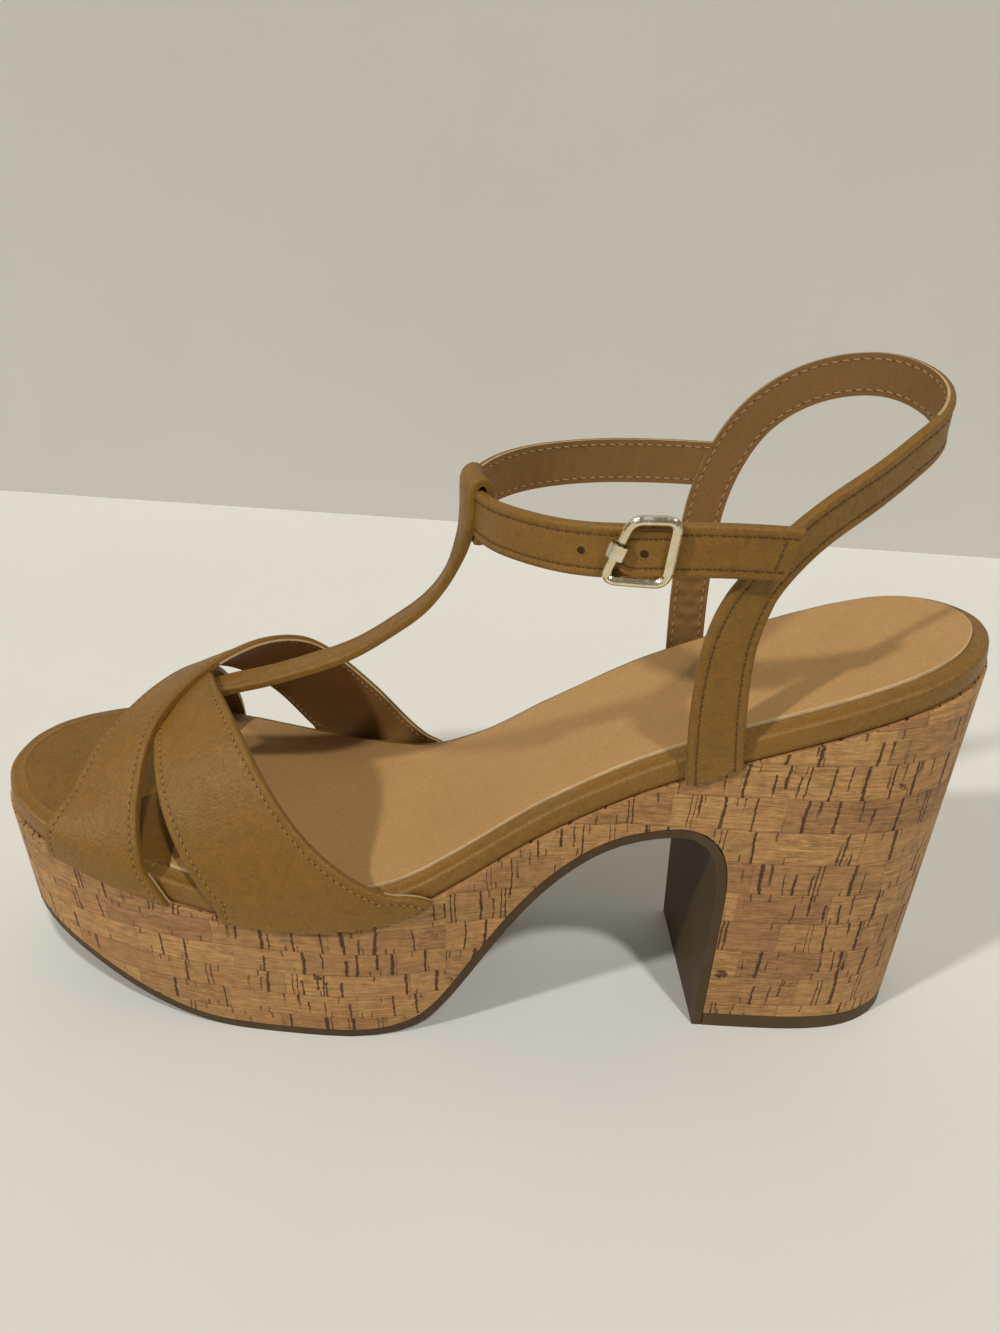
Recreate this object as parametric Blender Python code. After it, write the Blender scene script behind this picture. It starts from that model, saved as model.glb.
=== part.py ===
"""Platform sandal, left shoe: CAD construction for Blender 4.5.

Frame: +Z up, floor at Z = 0, toe towards -X, heel towards +X, outer (lateral)
side towards -Y.  Sizes below are millimetres; the scene is in metres.
"""
import math

import bmesh
import bpy
import numpy as np

MM = 0.001

# Sole sizes, millimetres
LENGTH = 241.0            # rand outline, heel back to toe tip
WIDTH = 83.0              # widest place of the sole, at the ball
HEEL_HEIGHT = 104.0       # cork top line at the heel back

# Units of the tables: lengths along the shoe in 241sts of LENGTH, across it in 83rds of WIDTH,
# and heights in 104ths of HEEL_HEIGHT.
ALONG, ACROSS, UPWARD = LENGTH / 241, WIDTH / 83, HEEL_HEIGHT / 104

HEEL_BACK = 117.2 * ALONG  # x of the heel back while drawing
GAP = 0.3                 # clearance between neighbouring pieces
OUTSOLE_THICK = 2.3       # rubber strip under the forefoot, arch and heel breast
TOP_LIFT_THICK = 4.5      # wearing block under the heel
RAND_HEIGHT = 6.3         # wrapped edge of the footbed
RAND_INSET = 0.8          # rand face behind the cork face
RAND_FOOT_IN = 0.6        # eased bottom edge: inwards and upwards
RAND_FOOT_UP = 0.8
RAND_ROUND = 2.6          # rounding of the rand's top edge
SOCK_INSET = 4.9          # sock edge behind the cork face
SOCK_THICK = 0.9
SOCK_FRONT = 0.80         # share of the length where the sock ends
SOCK_BOW = 13.4           # how far the sock's front edge bulges forward
CENTRE_Y = -2.0 * ACROSS  # shoe axis, from the middle of the outline

# Upper sizes, millimetres
VAMP_THICK = 1.8
STRAP_CLEAR = 0.5         # from the rand's face to the straps outside it
VAMP_RAISE = 1.7          # upper strap raised over the lower one at the crossing
CROSSING = 0.47           # share of the way round where the straps cross
CROSSING_SPREAD = 0.2
STRAP_WALL = 0.07         # share of the way round taken by the upright side of the rand
STRAP_TURN = 0.09         # from here down the straps' thickness points sideways
QUARTER_WIDTH = 12.4      # sling strap at the outer side of the rand
QUARTER_TOP = 126.0 * UPWARD  # height where the sling starts to widen towards the rand
QUARTER_FALL = 40.0 * UPWARD  # height over which it widens
SIDE_TURN = (105.0 * UPWARD, 30.0 * UPWARD)  # sling turns from sideways to round the heel: from, over
T_FLARE = (100.0 * UPWARD, 20.0 * UPWARD)  # T-strap widens to the loop's width: from, over
SLING_WIDTH = 9.2         # the same strap round the heel
SLING_THICK = 1.9
ANKLE_WIDTH = 11.0
ANKLE_THICK = 1.8
T_WIDTH = 9.5
T_THICK = 2.0
LOOP_WIDTH = 11.5         # loop at the top of the T-strap, along the ankle strap
LOOP_WALL = 1.5
LOOP_CLEAR_DEEP = 1.7     # room in the loop in front of and behind the ankle strap
LOOP_CLEAR_TALL = 0.8     # room above and below it
LOOP_SQUARE = 0.4         # 1 is an ellipse, towards 0 a rectangle
LOOP_FORWARD = 0.5        # loop middle, from the strap's foremost point
LOOP_ASIDE = -1.5
EDGE_ROUND = 0.5          # eased long edges of every strap

# Buckle sizes, millimetres
WIRE = 1.05               # radius of the frame's wire
BUCKLE_CORNER = 2.4
KNUCKLE_WALL = 0.7
KNUCKLE_CLEAR = 0.45      # round the frame's wire
KNUCKLE_LONG = 3.0
BUCKLE_LIFT = 0.55        # from the strap's face to the wire


def in_units(rows, *units):
    """Rows of a table as lengths, each column by its unit."""
    return tuple(tuple(value * unit for value, unit in zip(row, units)) for row in rows)


# Outline of the seat and of the floor level, as half widths from the shoe axis.
# Columns: x, seat outer side, seat inner side, floor outer side, floor inner side.
OUTLINE = in_units((
    (114.8, 10.2, 9.4, 11.0, 8.6),
    (110.0, 17.6, 16.0, 17.2, 12.6),
    (104.0, 22.8, 20.8, 21.0, 14.8),
    (92.0, 27.6, 24.6, 24.2, 16.2),
    (73.0, 29.4, 26.0, 25.3, 16.6),
    (48.6, 28.9, 26.6, 25.4, 18.5),
    (24.3, 29.6, 25.4, 26.0, 20.5),
    (0.0, 33.4, 26.2, 30.6, 23.4),
    (-24.3, 38.2, 34.4, 36.6, 32.6),
    (-43.7, 38.4, 40.6, 37.2, 39.2),
    (-63.2, 37.2, 42.4, 36.0, 41.0),
    (-85.0, 33.2, 41.0, 32.0, 39.6),
    (-102.0, 27.6, 34.6, 26.2, 33.0),
    (-117.0, 17.6, 20.6, 16.2, 19.0),
), ALONG, ACROSS, ACROSS, ACROSS, ACROSS)
FLOOR_HEEL_SET = 3.6      # floor outline starts this far in front of the heel back
FLOOR_TOE_SET = 2.0
SKEW = 0.09               # breast and arch run forward towards the inner side
SKEW_FROM = -28.0 * ACROSS  # y of the drawn underside line

# Cork top line.  Columns: x, height above the floor.
CORK_TOP = in_units((
    (-121.5, 51.5), (-102.0, 46.6), (-86.0, 43.0), (-74.0, 40.6), (-61.0, 38.3), (-48.0, 37.0),
    (-34.0, 37.6), (-24.0, 39.4), (-15.0, 42.2), (-6.5, 46.8), (2.6, 52.6), (12.0, 59.2),
    (23.0, 66.0), (39.5, 75.2), (59.0, 84.0), (75.5, 90.6), (91.0, 96.4), (105.0, 100.6),
    (121.5, 103.6),
), ALONG, UPWARD)

# Underside: toe spring, forefoot flat, arch and heel breast.  Columns: x, height.
TOE_SPRING = in_units((
    (-134.0, 32.0), (-120.0, 23.6), (-108.0, 17.2), (-98.0, 12.2), (-88.0, 7.2), (-80.0, 4.0),
    (-72.0, 1.6), (-64.0, 0.3), (-58.0, 0.0),
), ALONG, UPWARD)
FLAT_REAR = -30.0 * ALONG
ARCH = in_units((
    (-24.0, 0.4), (-17.5, 1.6), (-12.0, 4.0), (-7.0, 8.6), (-1.8, 16.0), (3.3, 24.4), (8.9, 33.4),
    (14.7, 41.8), (20.4, 48.6), (27.0, 54.8), (34.5, 59.6), (42.0, 62.2), (48.0, 63.2),
    (52.3, 62.6), (55.4, 60.2), (57.4, 56.4), (58.6, 50.6), (59.0, 40.0), (59.0, 26.0),
    (59.0, 12.0), (59.0, -6.0),
), ALONG, UPWARD)

# Last over the forefoot.  Columns: x, ridge height above the floor.
RIDGE = in_units((
    (-114.0, 55.0), (-102.0, 61.0), (-90.0, 68.0), (-80.0, 73.4), (-70.0, 78.6), (-60.0, 83.6),
    (-48.0, 88.4), (-38.0, 92.0), (-28.0, 97.0), (-18.0, 102.0), (-8.0, 106.0),
), ALONG, UPWARD)
RIDGE_Y = 5.0 * ACROSS
LAST_POWER = 1.3

# Vamp straps by share of the way round from the outer to the inner side.
# Columns: share, front edge x, rear edge x.
UPPER_STRAP = in_units((
    (0.00, -103.5, -71.5), (0.08, -103.5, -75.5), (0.16, -102.5, -78.0), (0.28, -99.0, -80.0),
    (0.38, -95.5, -79.0), (0.48, -90.0, -73.0), (0.56, -84.5, -63.0), (0.64, -78.5, -52.5),
    (0.72, -72.0, -43.5), (0.80, -65.0, -33.5), (0.88, -58.5, -23.5), (0.94, -54.0, -15.0),
    (1.00, -52.0, -8.5),
), 1, ALONG, ALONG)
LOWER_STRAP = in_units((
    (0.00, -58.5, -8.5), (0.06, -60.5, -14.0), (0.12, -64.5, -24.5), (0.20, -70.5, -38.5),
    (0.28, -75.5, -49.0), (0.38, -80.0, -59.5), (0.48, -84.5, -68.5), (0.58, -89.0, -74.0),
    (0.70, -93.5, -76.0), (0.84, -96.5, -76.0), (1.00, -98.0, -75.0),
), 1, ALONG, ALONG)

# Strap middle lines, millimetres: x, y, z
T_LINE = in_units((
    (-78.0, 0.5, 72.8), (-69.0, 2.5, 77.4), (-57.0, 3.2, 80.8), (-44.5, 3.5, 85.2),
    (-32.5, 3.5, 90.6), (-22.4, 3.5, 97.6), (-15.0, 3.5, 103.8), (-9.8, 3.5, 110.6),
    (-7.3, 3.5, 117.4), (-6.3, 3.5, 124.0), (-6.1, 3.5, 131.0),
), ALONG, ACROSS, UPWARD)
SLING_LINE = in_units((
    (54.2, -31.6, 78.0), (52.9, -32.0, 92.0), (52.4, -31.8, 106.0), (53.4, -31.4, 117.0),
    (57.0, -30.8, 127.0), (63.0, -28.6, 134.5), (71.0, -24.0, 140.3), (80.0, -18.0, 144.8),
    (89.0, -10.5, 149.4), (95.5, -3.5, 152.9), (98.2, 5.0, 155.8), (96.7, 13.0, 157.8),
    (91.0, 20.5, 159.0), (80.8, 26.0, 157.4), (71.0, 28.8, 152.8), (63.2, 29.6, 146.0),
    (57.8, 29.6, 137.0), (54.2, 29.2, 126.0), (52.6, 28.4, 112.0), (52.3, 27.4, 98.0),
    (52.9, 26.8, 78.0),
), ALONG, ACROSS, UPWARD)
ANKLE_LINE = in_units((
    (54.0, 29.6, 134.0), (46.0, 31.4, 133.6), (36.0, 31.4, 133.5), (26.0, 29.8, 133.5),
    (16.0, 26.6, 133.3), (7.0, 21.4, 133.0), (0.2, 14.0, 132.4), (-3.4, 5.0, 131.6),
    (-2.2, -4.5, 131.0), (2.4, -13.0, 131.0), (8.6, -20.4, 131.8), (15.6, -26.4, 132.6),
    (23.6, -30.8, 133.6), (32.6, -33.4, 134.8), (42.0, -34.4, 135.8), (52.0, -34.2, 136.0),
    (61.8, -33.0, 135.4),
), ALONG, ACROSS, UPWARD)
ANKLE_AXIS = (48.0 * ALONG, -1.0 * ACROSS)

# Buckle frame corners on the strap's outer face: x, z
BUCKLE_CORNERS = in_units(((25.6, 128.9), (30.2, 141.9), (38.9, 142.6), (37.6, 129.6)), ALONG, UPWARD)

# Plain viewport colours
LEATHER = (0.40, 0.20, 0.075)
METAL = (0.80, 0.72, 0.50)

# Grid fineness
SIDE_STEPS = 58
BAND_STEP = 3.2
STRAP_STEPS = 30
STRAP_ACROSS = 5


def spline(points):
    """Natural cubic curve through (key, value...) rows."""
    table = np.array(points, dtype=float)
    keys, values = table[:, 0], table[:, 1:]
    n = len(keys)
    step = np.diff(keys)
    slope = np.diff(values, axis=0) / step[:, None]
    system = np.eye(n)
    right = np.zeros((n, values.shape[1]))
    for i in range(1, n - 1):
        system[i, i - 1:i + 2] = step[i - 1], 2 * (step[i - 1] + step[i]), step[i]
        right[i] = 6 * (slope[i] - slope[i - 1])
    bend = np.linalg.solve(system, right)

    def at(key):
        key = np.atleast_1d(np.asarray(key, dtype=float))
        clipped = np.clip(key, keys[0], keys[-1])
        i = np.clip(np.searchsorted(keys, clipped) - 1, 0, n - 2)
        h, a, b = step[i], keys[i + 1] - clipped, clipped - keys[i]
        h, a, b = h[:, None], a[:, None], b[:, None]
        return (bend[i] * a ** 3 / (6 * h) + bend[i + 1] * b ** 3 / (6 * h)
                + (values[i] / h - bend[i] * h / 6) * a + (values[i + 1] / h - bend[i + 1] * h / 6) * b)
    return at


def path_spline(points, spacing):
    """Evenly spaced points on a smooth curve through 3-D points."""
    pts = np.array(points, dtype=float)
    run = np.concatenate([[0], np.cumsum(np.linalg.norm(np.diff(pts, axis=0), axis=1))])
    curve = spline(np.column_stack([run, pts]))
    count = max(4, int(round(run[-1] / spacing)))
    return curve(np.linspace(0, run[-1], count + 1))


def unit(vectors):
    return vectors / np.maximum(np.linalg.norm(vectors, axis=-1, keepdims=True), 1e-9)


CORK_LINE = spline(CORK_TOP)
RIDGE_LINE = spline(RIDGE)


def cork_top(x):
    return CORK_LINE(x)[:, 0]


def half_outline(column, heel_set=0.0, toe_set=0.0, inset=0.0):
    """x and distance from the axis for one side, from the heel to the toe."""
    table = np.array(OUTLINE)
    share = (HEEL_BACK - table[:, 0]) / LENGTH
    fullness = spline(np.column_stack([share, table[:, column] / np.sqrt(share * (1 - share))]))
    turn = np.linspace(0, math.pi, SIDE_STEPS + 1)
    s = (1 - np.cos(turn)) / 2
    wide = fullness(s)[:, 0] * np.sqrt(s * (1 - s))
    x = HEEL_BACK - heel_set - s * (LENGTH - heel_set - toe_set)
    if inset:
        along = unit(np.column_stack([np.gradient(x), np.gradient(wide)]))
        along[0], along[-1] = (0, 1), (0, -1)
        x, wide = x + along[:, 1] * -inset, wide + along[:, 0] * inset
        wide[0] = wide[-1] = 0
    return x, wide


def ring(lateral, medial):
    """Closed flat ring: heel tip, outer side, toe tip, inner side back to the heel."""
    xs = np.concatenate([lateral[0], medial[0][-2:0:-1]])
    ys = np.concatenate([CENTRE_Y - lateral[1], (CENTRE_Y + medial[1])[-2:0:-1]])
    return np.column_stack([xs, ys, np.zeros_like(xs)])


def cap_faces(first, flip):
    """Faces that close a ring by pairing its outer and inner side."""
    count = 2 * SIDE_STEPS
    faces = []
    for i in range(SIDE_STEPS):
        quad = [i, i + 1, (count - i - 1) % count, (count - i) % count]
        face = list(dict.fromkeys(first + k for k in quad))
        faces.append(face[::-1] if flip else face)
    return faces


def mesh_object(name, vertices, faces, collection, colour=None, roughness=0.6, metallic=0.0, smooth=True):
    mesh = bpy.data.meshes.new(name)
    mesh.from_pydata([tuple(float(c) * MM for c in v) for v in vertices], [], faces)
    bm = bmesh.new()
    bm.from_mesh(mesh)
    bmesh.ops.recalc_face_normals(bm, faces=bm.faces)
    bm.to_mesh(mesh)
    bm.free()
    mesh.polygons.foreach_set("use_smooth", [smooth] * len(mesh.polygons))
    thing = bpy.data.objects.new(name, mesh)
    collection.objects.link(thing)
    if colour:
        dress(thing, colour, roughness, metallic)
    return thing


def dress(thing, colour, roughness, metallic):
    material = bpy.data.materials.new(thing.name)
    material.use_nodes = True
    shader = material.node_tree.nodes["Principled BSDF"]
    shader.inputs["Base Color"].default_value = (*colour, 1)
    shader.inputs["Roughness"].default_value = roughness
    shader.inputs["Metallic"].default_value = metallic
    thing.data.materials.clear()
    thing.data.materials.append(material)


def stack(rings):
    """Vertices and faces of a closed solid from rings, bottom to top."""
    count = len(rings[0])
    faces = cap_faces(0, True) + cap_faces((len(rings) - 1) * count, False)
    for k in range(len(rings) - 1):
        for i in range(count):
            j = (i + 1) % count
            faces.append([k * count + i, k * count + j, (k + 1) * count + j, (k + 1) * count + i])
    return np.concatenate(rings), faces


def helper(name, data, cutters, smooth=True):
    """A mesh that only cuts or joins: kept in the cutters' collection and never rendered."""
    thing = mesh_object(name, data[0], data[1], cutters, smooth=smooth)
    thing.display_type = "WIRE"
    thing.hide_render = True
    return thing


def extruded(first, last):
    """Closed solid between two equal outlines."""
    count = len(first)
    faces = [list(range(count)), list(range(count, 2 * count))]
    faces += [[i, (i + 1) % count, count + (i + 1) % count, count + i] for i in range(count)]
    return list(first) + list(last), faces


def prism(name, outline, cutters, skew=SKEW):
    """Cutter: an x-z outline run across the whole shoe, skewed with the breast."""
    ends = [[(x - skew * (y - SKEW_FROM), y, z) for x, z in outline] for y in (-LENGTH / 4, LENGTH / 4)]
    return helper(name, extruded(*ends), cutters, smooth=False)


def trim_feet(straps, cutters):
    """Cut the straps' lower ends along the cork's top line."""
    xs = np.linspace(-LENGTH / 2, LENGTH / 2, 2 * SIDE_STEPS)
    line = [(x, z) for x, z in zip(xs, cork_top(xs) + GAP)]
    cutter = prism("cut strap feet", line + [(LENGTH / 2, 0.0), (-LENGTH / 2, 0.0)], cutters, skew=0)
    for strap in straps:
        boolean(strap, cutter, "DIFFERENCE")


def boolean(thing, other, operation):
    step = thing.modifiers.new(operation.lower() + " " + other.name, "BOOLEAN")
    step.operation = operation
    step.solver = "EXACT"
    step.object = other


def offset_line(line, distance):
    """Move an x-z line sideways, into the sole."""
    along = unit(np.gradient(line, axis=0))
    return line + np.column_stack([-along[:, 1], along[:, 0]]) * distance


def underside():
    """Smooth x-z line from in front of the toe to below the heel breast."""
    toe = spline(TOE_SPRING)
    xs = np.linspace(TOE_SPRING[0][0], TOE_SPRING[-1][0], 16)
    front = np.column_stack([xs, np.maximum(toe(xs)[:, 0], 0)])
    front[-1, 1] = 0
    pts = np.array(((FLAT_REAR, 0.0),) + ARCH)
    run = np.concatenate([[0], np.cumsum(np.linalg.norm(np.diff(pts, axis=0), axis=1))])
    curve = spline(np.column_stack([run, pts]))
    rear = curve(np.linspace(0, run[-1], 44))
    rear[:, 1] = np.where(rear[:, 0] < ARCH[0][0], np.maximum(rear[:, 1], 0), rear[:, 1])
    return np.concatenate([front, rear])


def sole_body(name, collection, colour, roughness):
    """Loft from the floor outline to the cork top line."""
    seat = half_outline(1), half_outline(2)
    floor = half_outline(3, FLOOR_HEEL_SET, FLOOR_TOE_SET), half_outline(4, FLOOR_HEEL_SET, FLOOR_TOE_SET)
    top, low = ring(*seat), ring(*floor)
    top[:, 2] = cork_top(top[:, 0])
    vertices, faces = stack([low + (top - low) * share for share in (-0.12, 0.35, 0.7, 1.0)])
    return mesh_object(name, vertices, faces, collection, colour, roughness)


def build_sole(parts, cutters):
    line = underside()
    outer = offset_line(line, OUTSOLE_THICK)
    inner = offset_line(line, OUTSOLE_THICK + GAP)
    far, deep = LENGTH * 0.6, -HEEL_HEIGHT / 5
    breast = inner[-1, 0]

    cork = sole_body("cork_platform", parts, (0.62, 0.36, 0.18), 0.7)
    lift_top = TOP_LIFT_THICK + GAP
    cut = [tuple(p) for p in inner if p[0] < 0 or p[1] > lift_top]
    cut += [(breast, lift_top), (far, lift_top), (far, deep), (-far, deep), (-far, inner[0, 1])]
    boolean(cork, prism("cut cork underside", cut, cutters), "DIFFERENCE")

    outsole = sole_body("outsole", parts, (0.10, 0.06, 0.03), 0.6)
    low = line[line[:, 1] >= 0]
    high = outer[outer[:, 1] > 0]
    strip = [tuple(p) for p in low] + [(line[-1, 0], 0.0), (outer[-1, 0], 0.0)]
    strip += [tuple(p) for p in high[::-1]]
    boolean(outsole, prism("keep outsole strip", strip, cutters), "INTERSECT")

    lift = sole_body("heel_top_lift", parts, (0.12, 0.07, 0.035), 0.6)
    block = [(breast, 0.0), (far, 0.0), (far, TOP_LIFT_THICK), (breast, TOP_LIFT_THICK)]
    boolean(lift, prism("keep top lift", block, cutters), "INTERSECT")


def level_ring(inset, rise):
    """Ring at an inset from the cork face and a rise above the cork top line."""
    shape = ring(half_outline(1, inset=inset), half_outline(2, inset=inset))
    shape[:, 2] = cork_top(shape[:, 0]) + rise
    return shape


def build_footbed(parts, cutters):
    top = RAND_HEIGHT + GAP
    rings = [level_ring(RAND_INSET + RAND_FOOT_IN, GAP), level_ring(RAND_INSET, GAP + RAND_FOOT_UP)]
    for k in range(5):
        turn = k / 4 * math.pi / 2
        rings.append(level_ring(RAND_INSET + RAND_ROUND * (1 - math.cos(turn)),
                                top - RAND_ROUND * (1 - math.sin(turn))))
    vertices, faces = stack(rings)
    mesh_object("footbed_rand", vertices, faces, parts, (0.42, 0.22, 0.09), 0.5)

    base = top + GAP
    rings = [level_ring(SOCK_INSET, base), level_ring(SOCK_INSET, base + 0.6 * SOCK_THICK),
             level_ring(SOCK_INSET + 0.4, base + SOCK_THICK)]
    vertices, faces = stack(rings)
    sock = mesh_object("insole_sock", vertices, faces, parts, (0.52, 0.33, 0.22), 0.55)
    end, reach = HEEL_BACK - SOCK_FRONT * LENGTH, LENGTH / 5
    plan = [(end + SOCK_BOW * (1 - math.sin(t)), CENTRE_Y - reach * math.cos(t))
            for t in np.linspace(0, math.pi, SIDE_STEPS // 2)]
    plan += [(-LENGTH, reach + CENTRE_Y), (-LENGTH, CENTRE_Y - reach)]
    ends = [[(x, y, z) for x, y in plan] for z in (0.0, LENGTH / 2)]
    boolean(sock, helper("cut sock front", extruded(*ends), cutters, smooth=False), "DIFFERENCE")


def side_reach(x, column):
    """Distance from the axis to the rand's face at one x."""
    xs, wide = half_outline(column, inset=RAND_INSET)
    order = np.argsort(xs)
    return np.interp(x, xs[order], wide[order])


def last_surface(x, share):
    """Point on the inside of the vamp: outer side (0) over the ridge to the inner side (1)."""
    top = cork_top(x) + RAND_HEIGHT
    low = cork_top(x) - STRAP_CLEAR
    lateral = side_reach(x, 1) + STRAP_CLEAR
    medial = side_reach(x, 2) + STRAP_CLEAR
    ridge = RIDGE_LINE(x)[:, 0]
    up = np.clip(np.minimum(share, 1 - share) / STRAP_WALL, 0, 1)
    turn = np.clip((share - STRAP_WALL) / (1 - 2 * STRAP_WALL), 0, 1) * math.pi
    across = np.cos(turn)
    reach = np.where(across > 0, lateral - CENTRE_Y + RIDGE_Y, medial + CENTRE_Y - RIDGE_Y)
    y = RIDGE_Y - reach * across
    z = low + (top - low) * up + (ridge - top) * np.sin(turn) ** LAST_POWER
    return np.stack([x, y, z], axis=-1)


def grid_solid(inner, outer):
    """Closed solid between two equal grids of points."""
    rows, columns = inner.shape[:2]
    size = rows * columns
    vertices = np.concatenate([inner.reshape(-1, 3), outer.reshape(-1, 3)])
    faces = []
    for i in range(rows - 1):
        for j in range(columns - 1):
            a, b = i * columns + j, i * columns + j + 1
            c, d = b + columns, a + columns
            faces += [[a, b, c, d], [size + d, size + c, size + b, size + a]]
    edge = [(0, j) for j in range(columns)] + [(i, columns - 1) for i in range(1, rows)]
    edge += [(rows - 1, j) for j in range(columns - 2, -1, -1)] + [(i, 0) for i in range(rows - 2, 0, -1)]
    rim = [i * columns + j for i, j in edge]
    for a, b in zip(rim, rim[1:] + rim[:1]):
        faces.append([a, size + a, size + b, b])
    return vertices, faces


def vamp_strap(table, lift):
    """Strap over the last between its front and rear edge lines."""
    edges = spline(table)
    share = np.linspace(0, 1, STRAP_STEPS + 1)
    front, rear = edges(share).T
    across = np.linspace(0, 1, STRAP_ACROSS + 1)
    x = front[:, None] + (rear - front)[:, None] * across[None, :]
    around = np.repeat(share[:, None], STRAP_ACROSS + 1, axis=1)

    def at(xs, shares):
        return last_surface(xs.ravel(), shares.ravel()).reshape(*xs.shape, 3)

    here = at(x, around)
    reach = 0.01
    along = at(x, np.clip(around + reach, 0, 1)) - at(x, np.clip(around - reach, 0, 1))
    aside = at(x + 1, around) - at(x - 1, around)
    normal = unit(np.cross(aside, along))
    outer, inner = around < STRAP_TURN, around > 1 - STRAP_TURN
    normal[outer, 1] = -np.abs(normal[outer, 1])
    normal[inner, 1] = np.abs(normal[inner, 1])
    normal[outer | inner, 2] *= 0.3
    normal = unit(normal)
    under = here + normal * lift(around)[..., None]
    return under, under + normal * VAMP_THICK


def band(line, faces_to, width, thick):
    """Vertices and faces of a flat strap swept along a line.

    faces_to gives the direction that the strap's outer face looks at each point;
    width is a number, or a function that gives one value a point."""
    pts = path_spline(line, BAND_STEP)
    along = unit(np.gradient(pts, axis=0))
    out = np.array([faces_to(p) for p in pts], dtype=float)
    out = unit(out - along * np.sum(out * along, axis=1, keepdims=True))
    side = np.cross(along, out)
    half = np.broadcast_to(np.asarray(width(pts) if callable(width) else width) / 2, (len(pts),))
    t, e = thick / 2, EDGE_ROUND
    rings = []
    for p, n, s, h in zip(pts, out, side, half):
        corners = [(-h, -t + e), (-h + e, -t), (h - e, -t), (h, -t + e),
                   (h, t - e), (h - e, t), (-h + e, t), (-h, t - e)]
        rings.append([p + s * a + n * b for a, b in corners])
    count = len(rings[0])
    vertices = np.concatenate(rings)
    faces = [list(range(count)), list(range(len(vertices) - count, len(vertices)))]
    for k in range(len(rings) - 1):
        for i in range(count):
            j = (i + 1) % count
            faces.append([k * count + i, k * count + j, (k + 1) * count + j, (k + 1) * count + i])
    return vertices, faces


def build_vamp(parts, cutters):
    def over(around):
        return VAMP_RAISE * np.exp(-((around - CROSSING) / CROSSING_SPREAD) ** 2)

    upper = grid_solid(*vamp_strap(UPPER_STRAP, over))
    lower = grid_solid(*vamp_strap(LOWER_STRAP, np.zeros_like))
    vamp = mesh_object("vamp_and_t_strap", upper[0], upper[1], parts, LEATHER, 0.5)
    boolean(vamp, helper("join lower vamp strap", lower, cutters), "UNION")

    low, high = T_LINE[0][2], T_LINE[-1][2]

    def forward_up(p):
        climb = np.clip((p[2] - low) / (high - low), 0, 1)
        return (-0.15 - climb, 0, 1.0 - climb)

    def t_width(pts):
        climb = np.clip((pts[:, 2] - T_FLARE[0]) / T_FLARE[1], 0, 1)
        return T_WIDTH + (LOOP_WIDTH - EDGE_ROUND - T_WIDTH) * climb

    boolean(vamp, helper("join t strap", band(T_LINE, forward_up, t_width, T_THICK), cutters), "UNION")
    boolean(vamp, helper("join t strap loop", strap_loop(), cutters), "UNION")
    return vamp


def strap_loop():
    """Rounded box section round the ankle strap's foremost point, run across the foot."""
    ankle = np.array(ANKLE_LINE)
    front = ankle[np.argmin(ankle[:, 0])]
    half_x = ANKLE_THICK / 2 + LOOP_CLEAR_DEEP + LOOP_WALL / 2
    half_z = ANKLE_WIDTH / 2 + LOOP_CLEAR_TALL + LOOP_WALL / 2
    turn = np.linspace(0, 2 * math.pi, 32, endpoint=False)

    def squared(wave):
        return np.sign(wave) * np.abs(wave) ** LOOP_SQUARE

    path = np.column_stack([front[0] + LOOP_FORWARD + half_x * squared(np.cos(turn)),
                            front[2] + half_z * squared(np.sin(turn))])
    along = unit(np.roll(path, -1, axis=0) - np.roll(path, 1, axis=0))
    out = np.column_stack([along[:, 1], -along[:, 0]])
    loops = [path - out * LOOP_WALL / 2, path + out * LOOP_WALL / 2]
    middle, half = front[1] + LOOP_ASIDE, LOOP_WIDTH / 2
    count = len(path)
    vertices = [(x, middle + side * half, z) for side in (-1, 1) for loop in loops for x, z in loop]
    faces = []
    for i in range(count):
        j = (i + 1) % count
        a, b, c, d = 0, count, 2 * count, 3 * count
        faces += [[a + i, a + j, b + j, b + i], [c + i, d + i, d + j, c + j],
                  [b + i, b + j, d + j, d + i], [a + i, c + i, c + j, a + j]]
    return vertices, faces


def from_ankle(p):
    return (p[0] - ANKLE_AXIS[0], p[1] - ANKLE_AXIS[1], 0.0)


def build_ankle(parts, cutters):
    def sideways(p):
        rise = np.clip((p[2] - SIDE_TURN[0]) / SIDE_TURN[1], 0, 1)
        return ((p[0] - ANKLE_AXIS[0]) * rise, p[1] - ANKLE_AXIS[1], 0.0)

    def taper(pts):
        low = np.clip((QUARTER_TOP - pts[:, 2]) / QUARTER_FALL, 0, 1) * (pts[:, 1] < 0)
        return SLING_WIDTH + (QUARTER_WIDTH - SLING_WIDTH) * low ** 0.6

    sling = band(SLING_LINE, sideways, taper, SLING_THICK)
    strap = mesh_object("heel_and_ankle_strap", sling[0], sling[1], parts, LEATHER, 0.5)
    ankle = band(ANKLE_LINE, from_ankle, ANKLE_WIDTH, ANKLE_THICK)
    boolean(strap, helper("join ankle strap", ankle, cutters), "UNION")
    return strap


def wire_ring(path, radius, sides):
    """Closed round wire along a path of 3-D points."""
    pts = np.array(path, dtype=float)
    along = unit(np.roll(pts, -1, axis=0) - np.roll(pts, 1, axis=0))
    side = unit(np.cross(along, (0.0, 1.0, 0.0)))
    over = np.cross(side, along)
    turn = np.linspace(0, 2 * math.pi, sides, endpoint=False)
    rings = [p + radius * (np.outer(np.cos(turn), s) + np.outer(np.sin(turn), o))
             for p, s, o in zip(pts, side, over)]
    vertices = np.concatenate(rings)
    faces = []
    for k in range(len(rings)):
        n = (k + 1) % len(rings)
        for i in range(sides):
            j = (i + 1) % sides
            faces.append([k * sides + i, k * sides + j, n * sides + j, n * sides + i])
    return vertices, faces


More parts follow.
